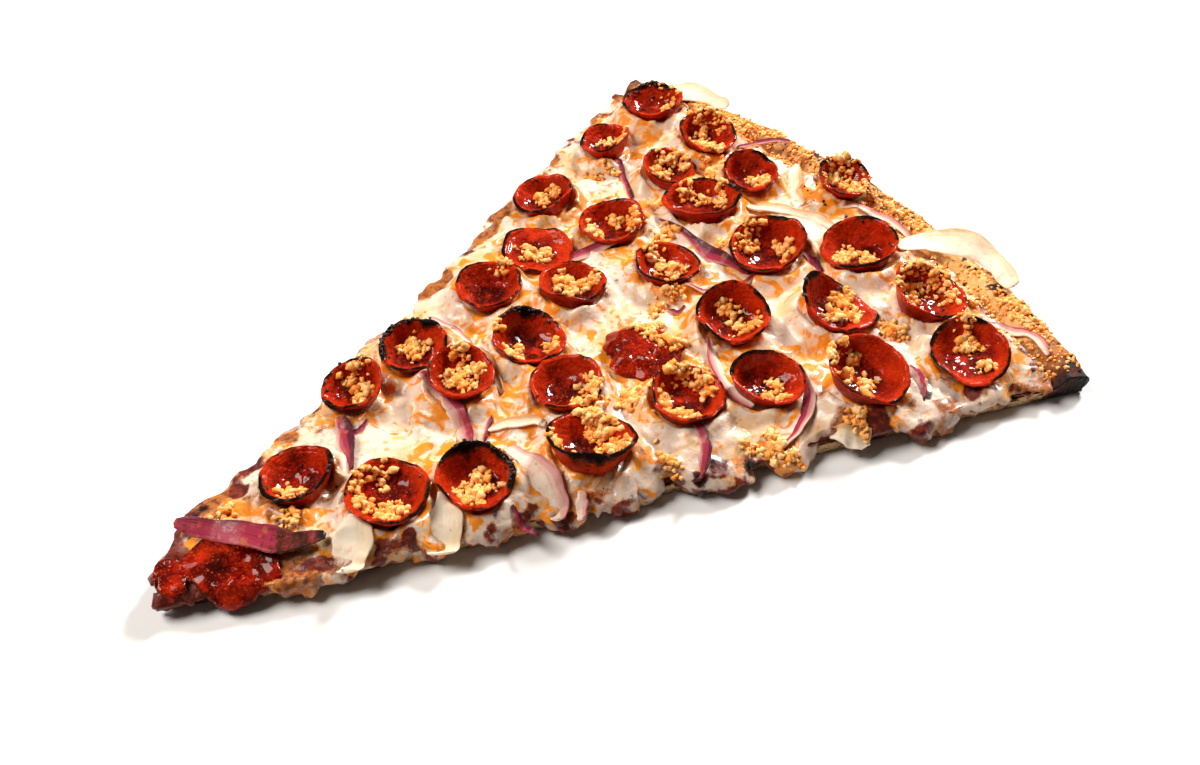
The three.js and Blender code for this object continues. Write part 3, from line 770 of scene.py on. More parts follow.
@dataclass(frozen=True)
class SootFinish:
    """Flecks burnt to black crumbs."""

    soot: Color = (0.006, 0.004, 0.004)
    ember: Color = (0.05, 0.022, 0.012)

    def make(self) -> Material:
        """Makes the material.

        Returns:
            The material.
        """
        f = Finish("burnt_flecks")
        grain = f.noise(0.5)
        return f.dress(Base_Color=f.mix(grain, self.soot, self.ember), Normal=f.bump(grain, 0.3, 0.8),
                       Roughness=f.span(grain, 0.3, 0.7, 0.35, 0.8))


# ---- Layers that run through the slice ----


class Side(Enum):
    """The stretches of a layer's boundary."""

    NEAR = 1.0
    FAR = 2.0
    RIM = 3.0
    TIP = 4.0


@dataclass
class Stations:
    """The boundary of a layer's top, point by point round the slice."""

    x: Array
    y: Array
    z: Array
    out: Array
    side: Array

    @property
    def r(self) -> Array:
        """Distance from the tip."""
        return np.hypot(self.x, self.y)

    def on(self, *sides: Side) -> Array:
        """1 at the points on those stretches, and 0 elsewhere."""
        return np.isin(self.side, [s.value for s in sides]).astype(float)

    def arc(self) -> Array:
        """Distance round the boundary, for noise that follows it."""
        return np.cumsum(np.hypot(np.diff(self.x, prepend=self.x[:1]), np.diff(self.y, prepend=self.y[:1])))


@dataclass
class Layer:
    """A closed layer: a fine top, a side that goes down in rings, and a flat underside.

    Across and along count the cells of its top, which starts at a distance from the tip.
    """

    across: int = 60
    along: int = 200
    seed: int = 5
    start: float = 4.0

    def __post_init__(self) -> None:
        """Makes the noise that shapes the layer."""
        self.noise = Noise(self.seed)

    def radius_at(self, share: Array) -> Array:
        """The radius at a share of the way from the start to the layer's end, in even steps."""
        return self.start + (CHEESE_REACH - self.start) * share

    def top(self, x: Array, y: Array) -> Array:
        """The height of the layer's top."""
        raise NotImplementedError

    def rings(self, edge: Stations) -> list[Ring]:
        """How far out and how high each ring of the side runs, from the top down."""
        raise NotImplementedError

    def refine(self, bm: BMesh) -> None:
        """Adds detail to the flat grid before it is shaped."""

    def edge_wander(self, r: Array, row: float) -> Array:
        """How far the cut edge strays outwards at a radius, with 1 for the near one and 2 for the far one."""
        return np.zeros_like(r)

    def build(self) -> Body:
        """Makes the layer.

        Returns:
            The body, with the value "ring" that counts the rings from 0 on the top, and "side".
        """
        bm = bmesh.new()
        bmesh.ops.create_grid(bm, x_segments=self.across, y_segments=self.along, size=1.0)
        self.refine(bm)
        bm.verts.ensure_lookup_table()
        ring_layer = bm.verts.layers.float.new("ring")
        station_layer = bm.verts.layers.int.new("station")
        flat = np.array([v.co[:2] for v in bm.verts]) * 0.5 + 0.5
        r = self.radius_at(flat[:, 1])
        near, far = Outline.edge_angles(r)
        angle = blend(near - self.edge_wander(r, 1.0) / r, far + self.edge_wander(r, 2.0) / r, flat[:, 0])
        x, y = r * np.cos(angle), r * np.sin(angle)
        z = self.top(x, y)
        loop = self._walk(bm)
        order = np.array([v.index for v in loop])
        for i, vert in enumerate(loop):
            vert[station_layer] = i
        edge = self._stations(x[order], y[order], z[order], flat[order])
        rings = self.rings(edge)
        open_edges = [e for e in bm.edges if e.is_boundary]
        for number in range(len(rings)):
            grown = bmesh.ops.extrude_edge_only(bm, edges=open_edges)["geom"]
            open_edges = [g for g in grown if isinstance(g, bmesh.types.BMEdge) and g.is_boundary]
            for vert in (g for g in grown if isinstance(g, bmesh.types.BMVert)):
                vert[ring_layer] = number + 1
        shaped = self._shape(bm, in_plan(x, y, z), edge, rings)
        bmesh.ops.triangle_fill(bm, edges=open_edges, use_beauty=True, normal=(0.0, 0.0, -1.0))
        body = Body(bm)
        body.values.update(shaped)
        return body

    @staticmethod
    def _stations(x: Array, y: Array, z: Array, share: Array) -> Stations:
        """The boundary of the top, from the places of its vertices.

        Args:
            x: Places along the plan.
            y: Places across the plan.
            z: Their heights.
            share: Their shares of the flat grid.

        Returns:
            The boundary.
        """
        side = np.select(
            [share[:, 0] < 1e-6, share[:, 0] > 1 - 1e-6, share[:, 1] > 0.5],
            [Side.NEAR.value, Side.FAR.value, Side.RIM.value], Side.TIP.value,
        )
        turn = np.sign(np.sum(x * np.roll(y, -1) - y * np.roll(x, -1)))
        out = np.column_stack([np.roll(y, -1) - np.roll(y, 1), np.roll(x, 1) - np.roll(x, -1)]) * turn
        out /= np.linalg.norm(out, axis=1, keepdims=True)
        return Stations(x, y, z, out, side)

    @staticmethod
    def _shape(bm: BMesh, top: Array, edge: Stations, rings: list[Ring]) -> dict[str, Array]:
        """Moves the vertices of the top and of the rings to their places.

        Args:
            bm: The bmesh, with the layers "ring" and "station".
            top: Places of the top's vertices.
            edge: The boundary of the top.
            rings: How far out and how high each ring runs.

        Returns:
            The ring and the side that each vertex belongs to.
        """
        bm.verts.ensure_lookup_table()
        ring_layer, station_layer = bm.verts.layers.float["ring"], bm.verts.layers.int["station"]
        ring = np.array([v[ring_layer] for v in bm.verts]).astype(int)
        low = ring > 0
        where = np.array([v[station_layer] for v in bm.verts])[low]
        outs, heights = (np.array(part)[ring[low] - 1, where] for part in zip(*rings))
        places = np.zeros((len(ring), 3))
        places[: len(top)] = top
        places[low, 0] = edge.x[where] + edge.out[where, 0] * outs
        places[low, 1] = edge.y[where] + edge.out[where, 1] * outs
        places[low, 2] = heights
        for vert, co in zip(bm.verts, places):
            vert.co = co
        bm.verts.layers.float.remove(ring_layer)
        sides = np.zeros(len(ring))
        sides[low] = edge.side[where]
        return {"ring": ring.astype(float), "side": sides}

    @staticmethod
    def _walk(bm: BMesh) -> list[bmesh.types.BMVert]:
        """The boundary's vertices in order.

        Args:
            bm: The flat grid.

        Returns:
            The vertices, each beside the one before.
        """
        start = next(v for v in bm.verts if v.is_boundary)
        loop, last = [start], None
        while True:
            ways = [e.other_vert(loop[-1]) for e in loop[-1].link_edges if e.is_boundary]
            step = next((v for v in ways if v is not last and (v is not start or len(loop) > 2)), start)
            if step is start:
                return loop
            last = loop[-1]
            loop.append(step)


@dataclass
class Cheese(Layer):
    """Melted cheese, draped over the sauce and down the cut edges, and drawn up to the cups.

    Soaked, burnt, oily and clean are spots, each a place and a radius. A run is a stretch of cut edge
    that the cheese hangs down: a distance from the tip, a half width and a length.
    """

    across: int = 270
    along: int = 290
    seed: int = 7
    start: float = 3.4
    cups: "Sequence[Cup]" = ()
    cup_tree: BVHTree | None = None
    strips: "Sequence[OnionStrip]" = ()
    steps: int = 11
    soaked = (
        (207, -85, 4.5), (66, -28, 4.0), (38, -8, 4.0), (46, 12, 2.4), (36, 14, 2.2), (167, -76, 2.6),
        (263, -100, 6.0), (120, -46, 4.0), (240, -95, 4.0), (269, -94, 4.0), (67, -33, 3.0), (81, -39, 2.6),
        (41, -22, 3.0),
    )
    burnt = ((21, 14, 2.4), (25, 15, 1.8), (148, -67, 2.2), (164, -73, 2.6), (226, -88, 2.0), (17, 9, 1.6))
    oily = (
        (86, 6, 8), (93, -15, 7), (132, 34, 7), (152, 19, 8), (160, -4, 7), (152, -30, 7), (230, -21, 7),
        (203, -42, 6), (212, -51, 6), (250, 77, 7), (118, -6, 6), (191, -20, 6), (229, 4, 6), (234, 34, 6),
        (122, 26, 5), (140, -5, 5),
    )
    clean = (
        (243, -45, 9), (233, -75, 9), (202, -63, 8), (144, -53, 8), (90, 14, 4), (154, 56, 7), (168, 32, 6),
        (169, -44, 6), (172, -61, 8), (179, 9, 7), (68, 15, 7), (258, -12, 8), (237, -93, 8), (249, 10, 7),
        (128, -55, 7),
    )
    near_runs = (
        (48, 10, 4.2), (78, 10, 4.8), (98, 12, 4.4), (118, 9, 3.4), (141, 13, 4.8), (160, 9, 4.0),
        (177, 5, 3.8), (194, 10, 4.2), (208, 8, 3.4), (240, 12, 4.6), (257, 8, 3.6), (272, 9, 4.4),
    )
    far_runs = ((70, 10, 2.0), (118, 12, 2.6), (160, 10, 3.2), (205, 14, 2.4), (250, 12, 3.0))

    def edge_wander(self, r: Array, row: float) -> Array:
        """The cheese pulls back and pushes out by a few millimetres."""
        amount, outward = (4.4, 0.12) if row == 1.0 else (2.4, 0.42)
        return (self.noise.line(r, 12.0, 3, row) + outward) * amount * smoothstep(r, 4.0, 30.0)

    def base_height(self, x: Array, y: Array) -> Array:
        """The plain height of the top, as the solid has it, without the cups' hollows."""
        wave = 0.35 * np.sin(x / 9 + y / 17) + 0.3 * np.sin(y / 7 - x / 23) + 0.25 * np.sin((x + y) / 5.3)
        edge = smoothstep(Outline.inside_by(x, y), -1.0, 9.0)
        outer = fall(np.hypot(x, y), CHEESE_REACH - 8.0, CHEESE_REACH + 2.0)
        return CHEESE_UNDERSIDE + (CHEESE + wave) * blend(0.55, 1.0, edge) * blend(0.5, 1.0, outer)

    def blisters(self, points: Array) -> Array:
        """How far blisters stand up at some places in the plan."""
        return np.maximum(self.noise(points + 140.0, 7.5) - 0.32, 0.0)

    def top(self, x: Array, y: Array) -> Array:
        """The height with lumps and ridges, fitted to the cups and the strips of onion.

        Args:
            x: Places along the plan.
            y: Places across the plan.

        Returns:
            The height at each place.
        """
        points = in_plan(x, y)
        ridges = 1.0 - np.abs(self.noise(points + 50.0, 10.0, 2)) * 2.0
        pebbles = self.noise(points + 90.0, 3.8, 2)
        z = self.base_height(x, y) + 1.2 * self.noise(points, 15.0, 2) + 0.45 * ridges + 0.45 * pebbles
        z = np.maximum(z + 2.2 * self.blisters(points) - 0.3, CHEESE_UNDERSIDE + 0.5)
        for cup in self.cups:
            self._hold_cup(cup, points, z)
        for strip in self.strips:
            self._bed_strip(strip, points, z)
        return np.maximum(z, CHEESE_UNDERSIDE + 0.5)

    def _hold_cup(self, cup: "Cup", points: Array, z: Array) -> None:
        """Presses the top down under a cup and draws it up the cup's wall.

        Args:
            cup: The cup.
            points: Places in the plan, one in a row.
            z: The top's height at each, which changes.
        """
        x, y = points[:, 0], points[:, 1]
        away = np.hypot(x - cup.x, y - cup.y) / (cup.rim / 2)
        close = np.nonzero(away < 1.7)[0]
        z[close] -= CUP_SINK * fall(away[close], 0.75, 1.25) * 0.6
        heading = np.arctan2(y[close] - cup.y, x[close] - cup.x)
        show = 3.0 + 2.5 * self.noise(points[close] + 170.0, 7.0, 2)
        welt = np.clip(self._rim_heights(cup, heading) - show - z[close], 0.2, 5.6)
        z[close] += welt * bell(away[close], 1.0, np.where(away[close] < 1.0, 0.16, 0.3))
        for i in close:
            over = height_at(self.cup_tree, x[i], y[i], from_below=True)
            if over is not None:
                hold = 1.0 - float(smoothstep(away[i], 0.6, 0.9))
                z[i] = min(z[i] + (min(over + 0.35, z[i] + 1.6) - z[i]) * hold, over + 0.4)

    def _bed_strip(self, strip: "OnionStrip", points: Array, z: Array) -> None:
        """Keeps the top below the solid of a strip of onion, whose banks it may climb.

        Args:
            strip: The strip.
            points: Places in the plan, one in a row.
            z: The top's height at each, which changes.
        """
        x, y = points[:, 0], points[:, 1]
        place, top = strip.solid_line(60)
        near = np.nonzero(np.hypot(x - place[:, 0].mean(), y - place[:, 1].mean()) < 45.0)[0]
        away = np.hypot(x[near, None] - place[:, 0], y[near, None] - place[:, 1])
        bank = np.maximum(away.min(axis=1) - 0.4 * strip.width, 0.0)
        z[near] = np.minimum(z[near], top[away.argmin(axis=1)] - 0.3 + 1.1 * bank)

    def _rim_heights(self, cup: "Cup", heading: Array) -> Array:
        """How high a cup's rim stands at some headings about its middle."""
        turns = np.linspace(-math.pi, math.pi, 33)
        tops = [max(height_at(self.cup_tree, *around(cup.x, cup.y, share * cup.rim / 2, turn)) or 0.0
                    for share in (0.84, 0.9, 0.96)) for turn in turns]
        return np.interp(heading, turns, smoothed(tops, "wrap"))

    def run_length(self, edge: Stations) -> Array:
        """How far down the cut edge the cheese hangs at each point of the boundary.

        Args:
            edge: The boundary of the top.

        Returns:
            A length for each point.
        """
        r = edge.r
        near = np.maximum(hills(r, self.near_runs), 1.8 * (1.0 - Outline.openness(r)))
        length = 0.5 + edge.on(Side.NEAR) * near + edge.on(Side.FAR) * hills(r, self.far_runs)
        ragged = self.noise.line(r, 8.0, 3, 5.0) * 3.0 + self.noise.line(r, 2.4, 2, 6.0)
        length += ragged * edge.on(Side.NEAR, Side.FAR) * smoothstep(length, 0.4, 2.0)
        return np.clip(length, 0.15, CHEESE_UNDERSIDE - 0.6)

    def rings(self, edge: Stations) -> list[Ring]:
        """A bulging outer face with folds, a rounded lip, and a hidden inner face.

        Args:
            edge: The boundary of the top.

        Returns:
            The rings, from the top down.
        """
        length = self.run_length(edge)
        clump = 3.0 * bell(edge.r, 177.0, 4.6) * edge.on(Side.NEAR)
        full = unit((length - 0.5) / 3.0)
        cut = edge.on(Side.NEAR, Side.FAR, Side.TIP)
        lip = CHEESE_UNDERSIDE - length * cut - 0.05
        made = []
        for t in np.arange(1, self.steps + 1) / self.steps:
            z = blend(edge.z, lip, t**1.15)
            spot = in_plan(edge.x, edge.y, z * 1.3)
            folds = self.noise(spot + 30.0, 7.0, 2) * 2.0 + self.noise(spot + 70.0, 2.6, 2) * 0.8
            belly = math.sin(math.pi * (0.08 + 0.8 * t)) - math.sin(math.pi * 0.08) * (1 - t)
            bulge = (1.0 + 1.7 * full + clump) * belly + 0.55 * t
            knobs = 2.4 * np.maximum(self.noise(spot + 210.0, 4.2, 2), 0.0) * smoothstep(t, 0.25, 0.75) * full
            made.append((np.maximum(bulge * blend(0.7, 1.0, cut) + folds * belly + knobs, 0.62 * t), z))
        made.append((blend(0.3, 0.75, cut), lip + 0.02))
        made.append((blend(0.2, 0.5, cut), np.minimum(lip + 0.35, CHEESE_UNDERSIDE)))
        made.append((blend(0.0, 0.45, cut), np.full_like(lip, CHEESE_UNDERSIDE)))
        return made

    def make(self, finish: Material) -> Object:
        """The finished cheese, with the masks that its finish reads.

        Args:
            finish: Its material.

        Returns:
            The piece.
        """
        body = self.build()
        places = body.places
        x, y, _ = places.T
        r, inside, flat = np.hypot(x, y), Outline.inside_by(x, y), in_plan(x, y)
        ring, side = body.values.pop("ring"), body.values.pop("side")
        on_near = side == Side.NEAR.value
        from_cup = np.min([np.hypot(x - cup.x, y - cup.y) - cup.rim / 2 for cup in self.cups], axis=0)
        from_cup = np.clip(from_cup, 0.0, 40.0)
        lipness = on_near * smoothstep(ring, 6.0, 12.0)
        tip_end = fall(r, 26.0, 66.0)

        oiled = 0.58 + 0.6 * self.noise(places + 11.0, 13.0, 2) + 0.42 * np.exp(-from_cup / 3.2)
        oiled += 0.26 * nearness(x, y, self.oily) - 0.34 * nearness(x, y, self.clean)
        oiled += 0.3 * fall(r, 30.0, 60.0)
        oiled += 0.3 * smoothstep(r, CHEESE_REACH - 20.0, CHEESE_REACH - 5.0)

        toasted = 0.04 + 0.4 * self.noise(places + 23.0, 12.0, 3) + 0.26 * np.exp(-from_cup / 1.3)
        toasted += 1.1 * self.blisters(flat) * (ring == 0)
        toasted += 0.95 * lipness * (0.7 + 1.6 * self.noise(places, 6.0, 2))
        toasted += 0.35 * smoothstep(r, CHEESE_REACH - 12.0, CHEESE_REACH)
        toasted += 0.5 * fall(r, 40.0, 66.0) + 0.45 * nearness(x, y, ((266.0, -98.0, 13.0),))
        rimmed = fall(inside, 0.0, 6.0) * np.where(y > 0, 0.62, 0.38)
        toasted += rimmed * (0.8 + 2.0 * self.noise(flat + 31.0, 9.0, 2))

        thin = 0.24 + 0.6 * self.noise(places + 47.0, 7.0, 3) - 0.4 * smoothstep(inside, 0.0, 8.0)
        thin += (0.26 + 0.5 * self.noise(flat + 77.0, 5.0, 2)) * tip_end + 0.08 * on_near
        thin += 0.9 * fall(r, 12.0, 22.0) + 0.5 * fall(r, 20.0, 36.0) * (y < -4.0)
        thin += 0.8 * nearness(x, y, self.soaked)
        thin += 0.5 * on_near * smoothstep(ring, 1.0, 4.0) * Outline.openness(r)

        # Painted shade: the near cut face, and the top where it curves down at the near edge, turn away from
        # the key light and are darkened in patches; this goes out as the cut mask.
        down = smoothstep(ring, 0.0, 5.0) * on_near
        bow = fall(inside, 0.0, 9.0) * (y < 0) * 0.55
        painted_shade = np.maximum(down, bow) * (0.75 + 1.1 * self.noise(places + 61.0, 10.0, 2))
        char = 0.4 * lipness * (self.noise(places + 5.0, 5.0, 2) + 0.3) + nearness(x, y, self.burnt)
        body.values.update(oiled=np.clip(oiled, 0.0, 0.86), toasted=unit(toasted), thin=unit(thin),
                           cut=unit(painted_shade), char=unit(char))
        return settle_on_body(body.to_object("melted_cheese", finish), "cheese", "cheese")


@dataclass
class Sauce(Layer):
    """The sauce between the dough and the cheese."""

    def top(self, x: Array, y: Array) -> Array:
        """A nearly flat top."""
        return DOUGH + GAP + SAUCE + 0.12 * self.noise(in_plan(x, y), 6.0, 2)

    def rings(self, edge: Stations) -> list[Ring]:
        """A rounded side that bulges where the cut edge is open."""
        wander = self.noise.line(edge.arc(), 4.0, 2) * 0.25
        out = -0.6 + 0.8 * edge.on(Side.NEAR) * Outline.openness(edge.r) + wander
        steps = ((0.0, 0.75), (0.15, 0.4), (-0.2, 0.0))
        return [(out + more, np.full_like(out, DOUGH + GAP + SAUCE * share)) for more, share in steps]

    def make(self, finish: Material) -> Object:
        """The finished sauce."""
        body = self.build()
        body.values.clear()
        return settle_on_body(body.to_object("tomato_sauce", finish), "sauce", "sauce")


@dataclass
class Crust(Layer):
    """The dough: flat under the toppings, a lumpy rim, crumb at both cuts and a floury underside.

    Its cells are fine from a distance on, which lies at a share of the grid's length.
    """

    across: int = 110
    along: int = 400
    seed: int = 3
    start: float = 3.0
    rim_from: float = 279.0
    rim_share: float = 0.82
    steps: int = 9

    def radius_at(self, share: Array) -> Array:
        """Coarse steps as far as the rim, then fine ones over it."""
        main = self.start + (self.rim_from - self.start) * share / self.rim_share
        rim = self.rim_from + (RADIUS - 1.6 - self.rim_from) * (share - self.rim_share) / (1 - self.rim_share)
        return np.where(share < self.rim_share, main, rim)

    def refine(self, bm: BMesh) -> None:
        """Splits the cells of the rim across."""
        level = [e for e in bm.edges if abs(e.verts[0].co.y - e.verts[1].co.y) < 1e-6]
        rows = [e for e in level if min(v.co.y for v in e.verts) > 2 * self.rim_share - 1]
        bmesh.ops.subdivide_edges(bm, edges=rows, cuts=3, use_grid_fill=False)

    def edge_wander(self, r: Array, row: float) -> Array:
        """The cut strays by a fraction of a millimetre."""
        return self.noise.line(r, 9.0, 3, row + 10.0) * 0.25

    def top(self, x: Array, y: Array) -> Array:
        """Flat under the toppings, then up over the lumpy rim and down again.

        Args:
            x: Places along the plan.
            y: Places across the plan.

        Returns:
            The height at each place.
        """
        r, arc, points = np.hypot(x, y), np.arctan2(y, x) * RADIUS, in_plan(x, y)
        rise = smoothstep(r, RADIUS - RIM_WIDTH + 1, RADIUS - RIM_WIDTH / 2)
        fall = smoothstep(r, RADIUS - RIM_WIDTH / 2.5, RADIUS)
        lumps = 0.5 * np.sin(arc / 6.5) + 0.4 * np.sin(arc / 15 + 1.3) + 0.3 * np.sin(arc / 3.6)
        crags = 0.55 * self.noise(points, 5.0, 3) + 0.25 * self.noise(points + 9.0, 1.6, 2)
        blisters = 0.9 * np.maximum(self.noise(points + 60.0, 9.0) - 0.25, 0.0)
        return DOUGH + rise * (RIM_RISE + lumps + crags + blisters) - fall * 1.6

    def rings(self, edge: Stations) -> list[Ring]:
        """An upright crumb face at the cuts, and a rounded outer wall at the rim.

        Args:
            edge: The boundary of the top.

        Returns:
            The rings, from the top down.
        """
        rim = edge.on(Side.RIM)
        made = []
        for t in np.arange(1, self.steps + 1) / self.steps:
            z = edge.z * (1.0 - t) ** blend(1.0, 1.2, rim)
            rough = self.noise(in_plan(edge.x, edge.y, z) + 4.0, 2.6, 3)
            round_out = math.sin(math.pi * min(t * 1.15 + 0.05, 1.0)) ** 0.8
            wall = 1.9 * round_out - 0.5 * t + 0.35 * rough * (1 - t)
            made.append((blend(-0.3 * t + 0.28 * rough * math.sin(math.pi * t), wall, rim), z))
        made.append((blend(-0.9, -1.6, rim), np.zeros_like(edge.z)))
        return made

    def make(self, finish: Material) -> Object:
        """The finished dough, with the masks that its finish reads.

        Args:
            finish: Its material.

        Returns:
            The piece.
        """
        body = self.build()
        places = body.places
        x, y, z = places.T
        r, angle = np.hypot(x, y), np.degrees(np.arctan2(y, x))
        ring, side = body.values.pop("ring"), body.values.pop("side")
        wide = self.noise(places + 3.0, 18.0, 3)
        outer = smoothstep(r, 292.0, 299.5)
        corner = bell(angle, -23.5, 2.6) * smoothstep(r, 276.0, 292.0)
        far_corner = bell(angle, 22.5, 3.0) * smoothstep(r, 284.0, 296.0)
        scorched = bell(angle, -22.0, 3.2) * smoothstep(r, 262.0, 280.0)
        low = fall(z, 0.4, 3.4) * (ring > 0)
        brink = fall(Outline.inside_by(x, y), 0.5, 4.0)
        bake = 0.22 + 0.4 * wide + 0.35 * outer + 0.4 * low + 0.45 * brink + 0.75 * scorched
        char = 0.8 * corner + 0.5 * far_corner + 0.32 * low + 0.25 * outer * (wide + 0.3)
        char += 2.4 * np.maximum(self.noise(places + 80.0, 4.5, 2) - 0.16, 0.0) * smoothstep(r, 288.0, 296.0)
        char += 0.3 * fall(r, 8.0, 40.0) * (side > 0)
        char += 0.9 * brink * np.maximum(self.noise(places + 90.0, 7.0, 2) + 0.1, 0.0) * (z > 2.5)
        sauced = (side == Side.NEAR.value) * (ring > 0) * unit(Outline.openness(r) * 1.3)
        sauced = np.where(r > 268.0, sauced * 0.25, sauced)
        sauced = np.maximum(sauced, fall(r, 22.0, 36.0) * (side > 0))
        cut = (side > 0) & (side != Side.RIM.value) & (ring > 0)
        under = (ring >= self.steps) & (z < 0.2)
        body.values.update(cut=cut * 0.85, under=under, bake=unit(bake), char=unit(char), sauced=unit(sauced))
        return settle_on_body(body.to_object("baked_crust", finish), "crust", "crust")


# ---- Pepperoni ----


def circle(angle: Array, row: float) -> Array:
    """Points on a circle of radius 1, for noise that runs round it and closes on itself."""
    return in_plan(np.cos(angle), np.sin(angle), row)


class CupForm(Enum):
    """How a slice of pepperoni has curled."""

    BOWL = "bowl"
    DOME = "dome"


@dataclass
class Cup:
    """A pepperoni slice that has curled into a cup.

    Lean is how many degrees its axis tips, towards heading. Oval is the rim's length over its width,
    axis the heading of its length and saddle how far the rim rises there. Each burn is a heading, a
    spread in degrees and a strength; a strong burn reaches further down the outer wall, and on cup 29's
    front that black band is partly char and partly painted shadow under the flared rim. Each lump of
    garlic is a heading and a share of the rim's radius.
    A flap is a heading and a spread in degrees where the wall lies down by a share. Each dent is a
    heading, a share of the rim's radius, a width and a height of the floor, down where it is negative.

    Along the section, which runs from 0 under the middle to 1 over it, the rim's crest and the start
    of the inside have their places. A dome is flattened, and a cup is sunk a little below its solid.
    """

    number: int
    x: float
    y: float
    rim: float
    lean: float
    heading: float
    burns: tuple[Triple, ...] = ()
    garlic: tuple[Pair, ...] = ()
    oval: float = 1.0
    axis: float = 0.0
    saddle: float = 0.0
    depth: float = CUP_DEPTH
    form: CupForm = CupForm.BOWL
    flap: Triple | None = None
    dents: tuple[tuple[float, float, float, float], ...] = ()
    sides: int = 88
    rows: int = 46
    crest = 0.505
    inside = 0.55
    flattened = 0.62
    sunk = 0.25

    @property
    def node(self) -> str:
        """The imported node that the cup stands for."""
        return f"pepperoni_{self.number:02d}"

    def _sway(self) -> Pair:
        """The phase and the height of the rim's slow rise and fall, the same as the solid's."""
        largest = 2147483647
        first = ((self.number - 1 + 40) * 7919 + 17) * 16807 % largest
        second = first * 16807 % largest
        return first / largest * math.pi * 2, 0.05 * self.rim * (0.4 + 0.6 * second / largest)

    def _section(self, share: Array) -> tuple[Array, Array]:
        """Radius and height along the section, from under the middle over the rim to the middle.

        Args:
            share: How far along the section, from 0 to 1.

        Returns:
            The radius and the height at each share.
        """
        radius, deep, wall = self.rim / 2, self.rim * self.depth, CUP_WALL
        at, out, up = np.array([
            (0.00, 0.0, 0.00), (0.14, 0.42 * radius, 0.0), (0.22, 0.60 * radius, 0.04 * deep),
            (0.30, 0.73 * radius, 0.24 * deep), (0.38, 0.85 * radius, 0.55 * deep),
            (0.46, 0.96 * radius, 0.88 * deep), (0.485, radius, 0.985 * deep),
            (self.crest, radius - 0.3 * wall, deep + 0.12), (0.53, radius - 0.85 * wall, deep - 0.05),
            (0.57, 0.95 * radius - wall, 0.8 * deep + 0.1),
            (0.65, 0.86 * radius - wall, 0.5 * deep + 0.35 * wall),
            (0.73, 0.74 * radius - wall, 0.24 * deep + 0.62 * wall),
            (0.81, 0.52 * radius, 0.09 * deep + 0.9 * wall),
            (0.90, 0.27 * radius, 0.02 * deep + wall), (1.00, 0.0, wall),
        ]).T
        return np.interp(share, at, out), np.interp(share, at, up)

    def build(self, noise: Noise) -> Body:
        """Makes the cup where it lies.

        Args:
            noise: Noise for its rim, wall and floor.

        Returns:
            The body, in plan millimetres, with the masks that its finish reads.
        """
        body, u, row = Body.sheet(self.sides, self.rows)
        v = np.interp(row, (0.0, 0.27, 0.68, 1.0), (0.0, 0.42, 0.60, 1.0))
        angle = u * 2 * math.pi
        degrees = np.degrees(angle)
        ring = circle(angle, self.number * 3.7)
        dome = self.form is CupForm.DOME
        out, up = self._section(v)
        radius, deep = self.rim / 2, self.rim * self.depth
        share = out / radius
        rimness = bell(v, self.crest, 0.07)
        waist = 1.0 + 0.09 * noise(ring, 1.0) + 0.025 * noise(ring * 4.0, 1.0, 2) * share
        if dome:
            up = deep - up
            waist = waist + 0.16 * noise(ring * 2.2 + 8.0, 1.0, 2)
        wave = 0.24 * deep * noise(ring * 1.1 + 5.0, 1.0) + 0.35 * rimness * noise(ring * 6.0, 1.0, 2)
        up = up + share**2 * wave
        if self.flap:
            heading, spread, drop = self.flap
            lying = bell(heading_gap(degrees, heading), 0.0, spread) * smoothstep(share, 0.35, 1.0)
            up = up * (1.0 - drop * lying)
            waist = waist + 0.10 * lying
        out = out * waist
        for heading, reach, width, height in self.dents:
            x, y = around(0.0, 0.0, reach * radius, math.radians(heading))
            away = np.hypot(out * ring[:, 0] - x, out * ring[:, 1] - y)
            up = up + height * bell(away, 0.0, width) * (v > 0.52)
        spot = in_plan(out * ring[:, 0], out * ring[:, 1], up * 1.5 + self.number * 40.0)
        skin = 0.4 * noise(spot, 3.6, 2) + 0.25 * noise(spot + 9.0, 1.4, 2)
        if dome:
            up = up * self.flattened
            skin += 2.8 * noise(spot + 19.0, 6.5, 2) * (1.0 - share**4)
        up = up + skin * np.where(v > self.inside, 1.0, -0.5) * (1.0 - 0.5 * rimness)
        body.places = self._lay(out, up, angle, share)

        burnt = np.max([0 * v, *(strength * bell(heading_gap(degrees, heading), 0.0, spread)
                                 for heading, spread, strength in self.burns)], axis=0)
        ragged = noise(ring * 2.0 + 3.0, 1.0, 3)
        # Strong burns reach further down the outer wall; on cup 29's front this band is partly painted shadow
        # under the rim.
        reach = blend(0.017, 0.056, np.clip(burnt**2 * (1.0 + 1.2 * ragged), 0.0, 4.0))
        char = bell(v, self.crest, reach) * np.clip(0.31 + 0.9 * burnt + 0.9 * ragged, 0.0, 0.95)
        # Painted light: the wall mask brightens the outer wall and the upper inner wall, as light shining
        # through the thin sausage.
        wall = 0.15 if dome else np.where(v < 0.5, 0.7, 0.75 * smoothstep(share, 0.45, 0.9))
        # This mask darkens the floor of a bowl, partly for fat that has collected there and partly as painted
        # shade in the hollow.
        pool = 0.4 if dome else fall(share, 0.3, 0.8) * (v > self.inside)
        body.values.update(
            char=unit(char + 0.3 * np.maximum(noise(spot + 77.0, 4.5, 2), 0.0)),
            wall=unit(wall + 0.6 * noise(spot + 33.0, 6.0, 2)),
            pool=unit(pool + 0.5 * noise(spot + 15.0, 7.0, 2) * np.sign(pool)),
        )
        return body

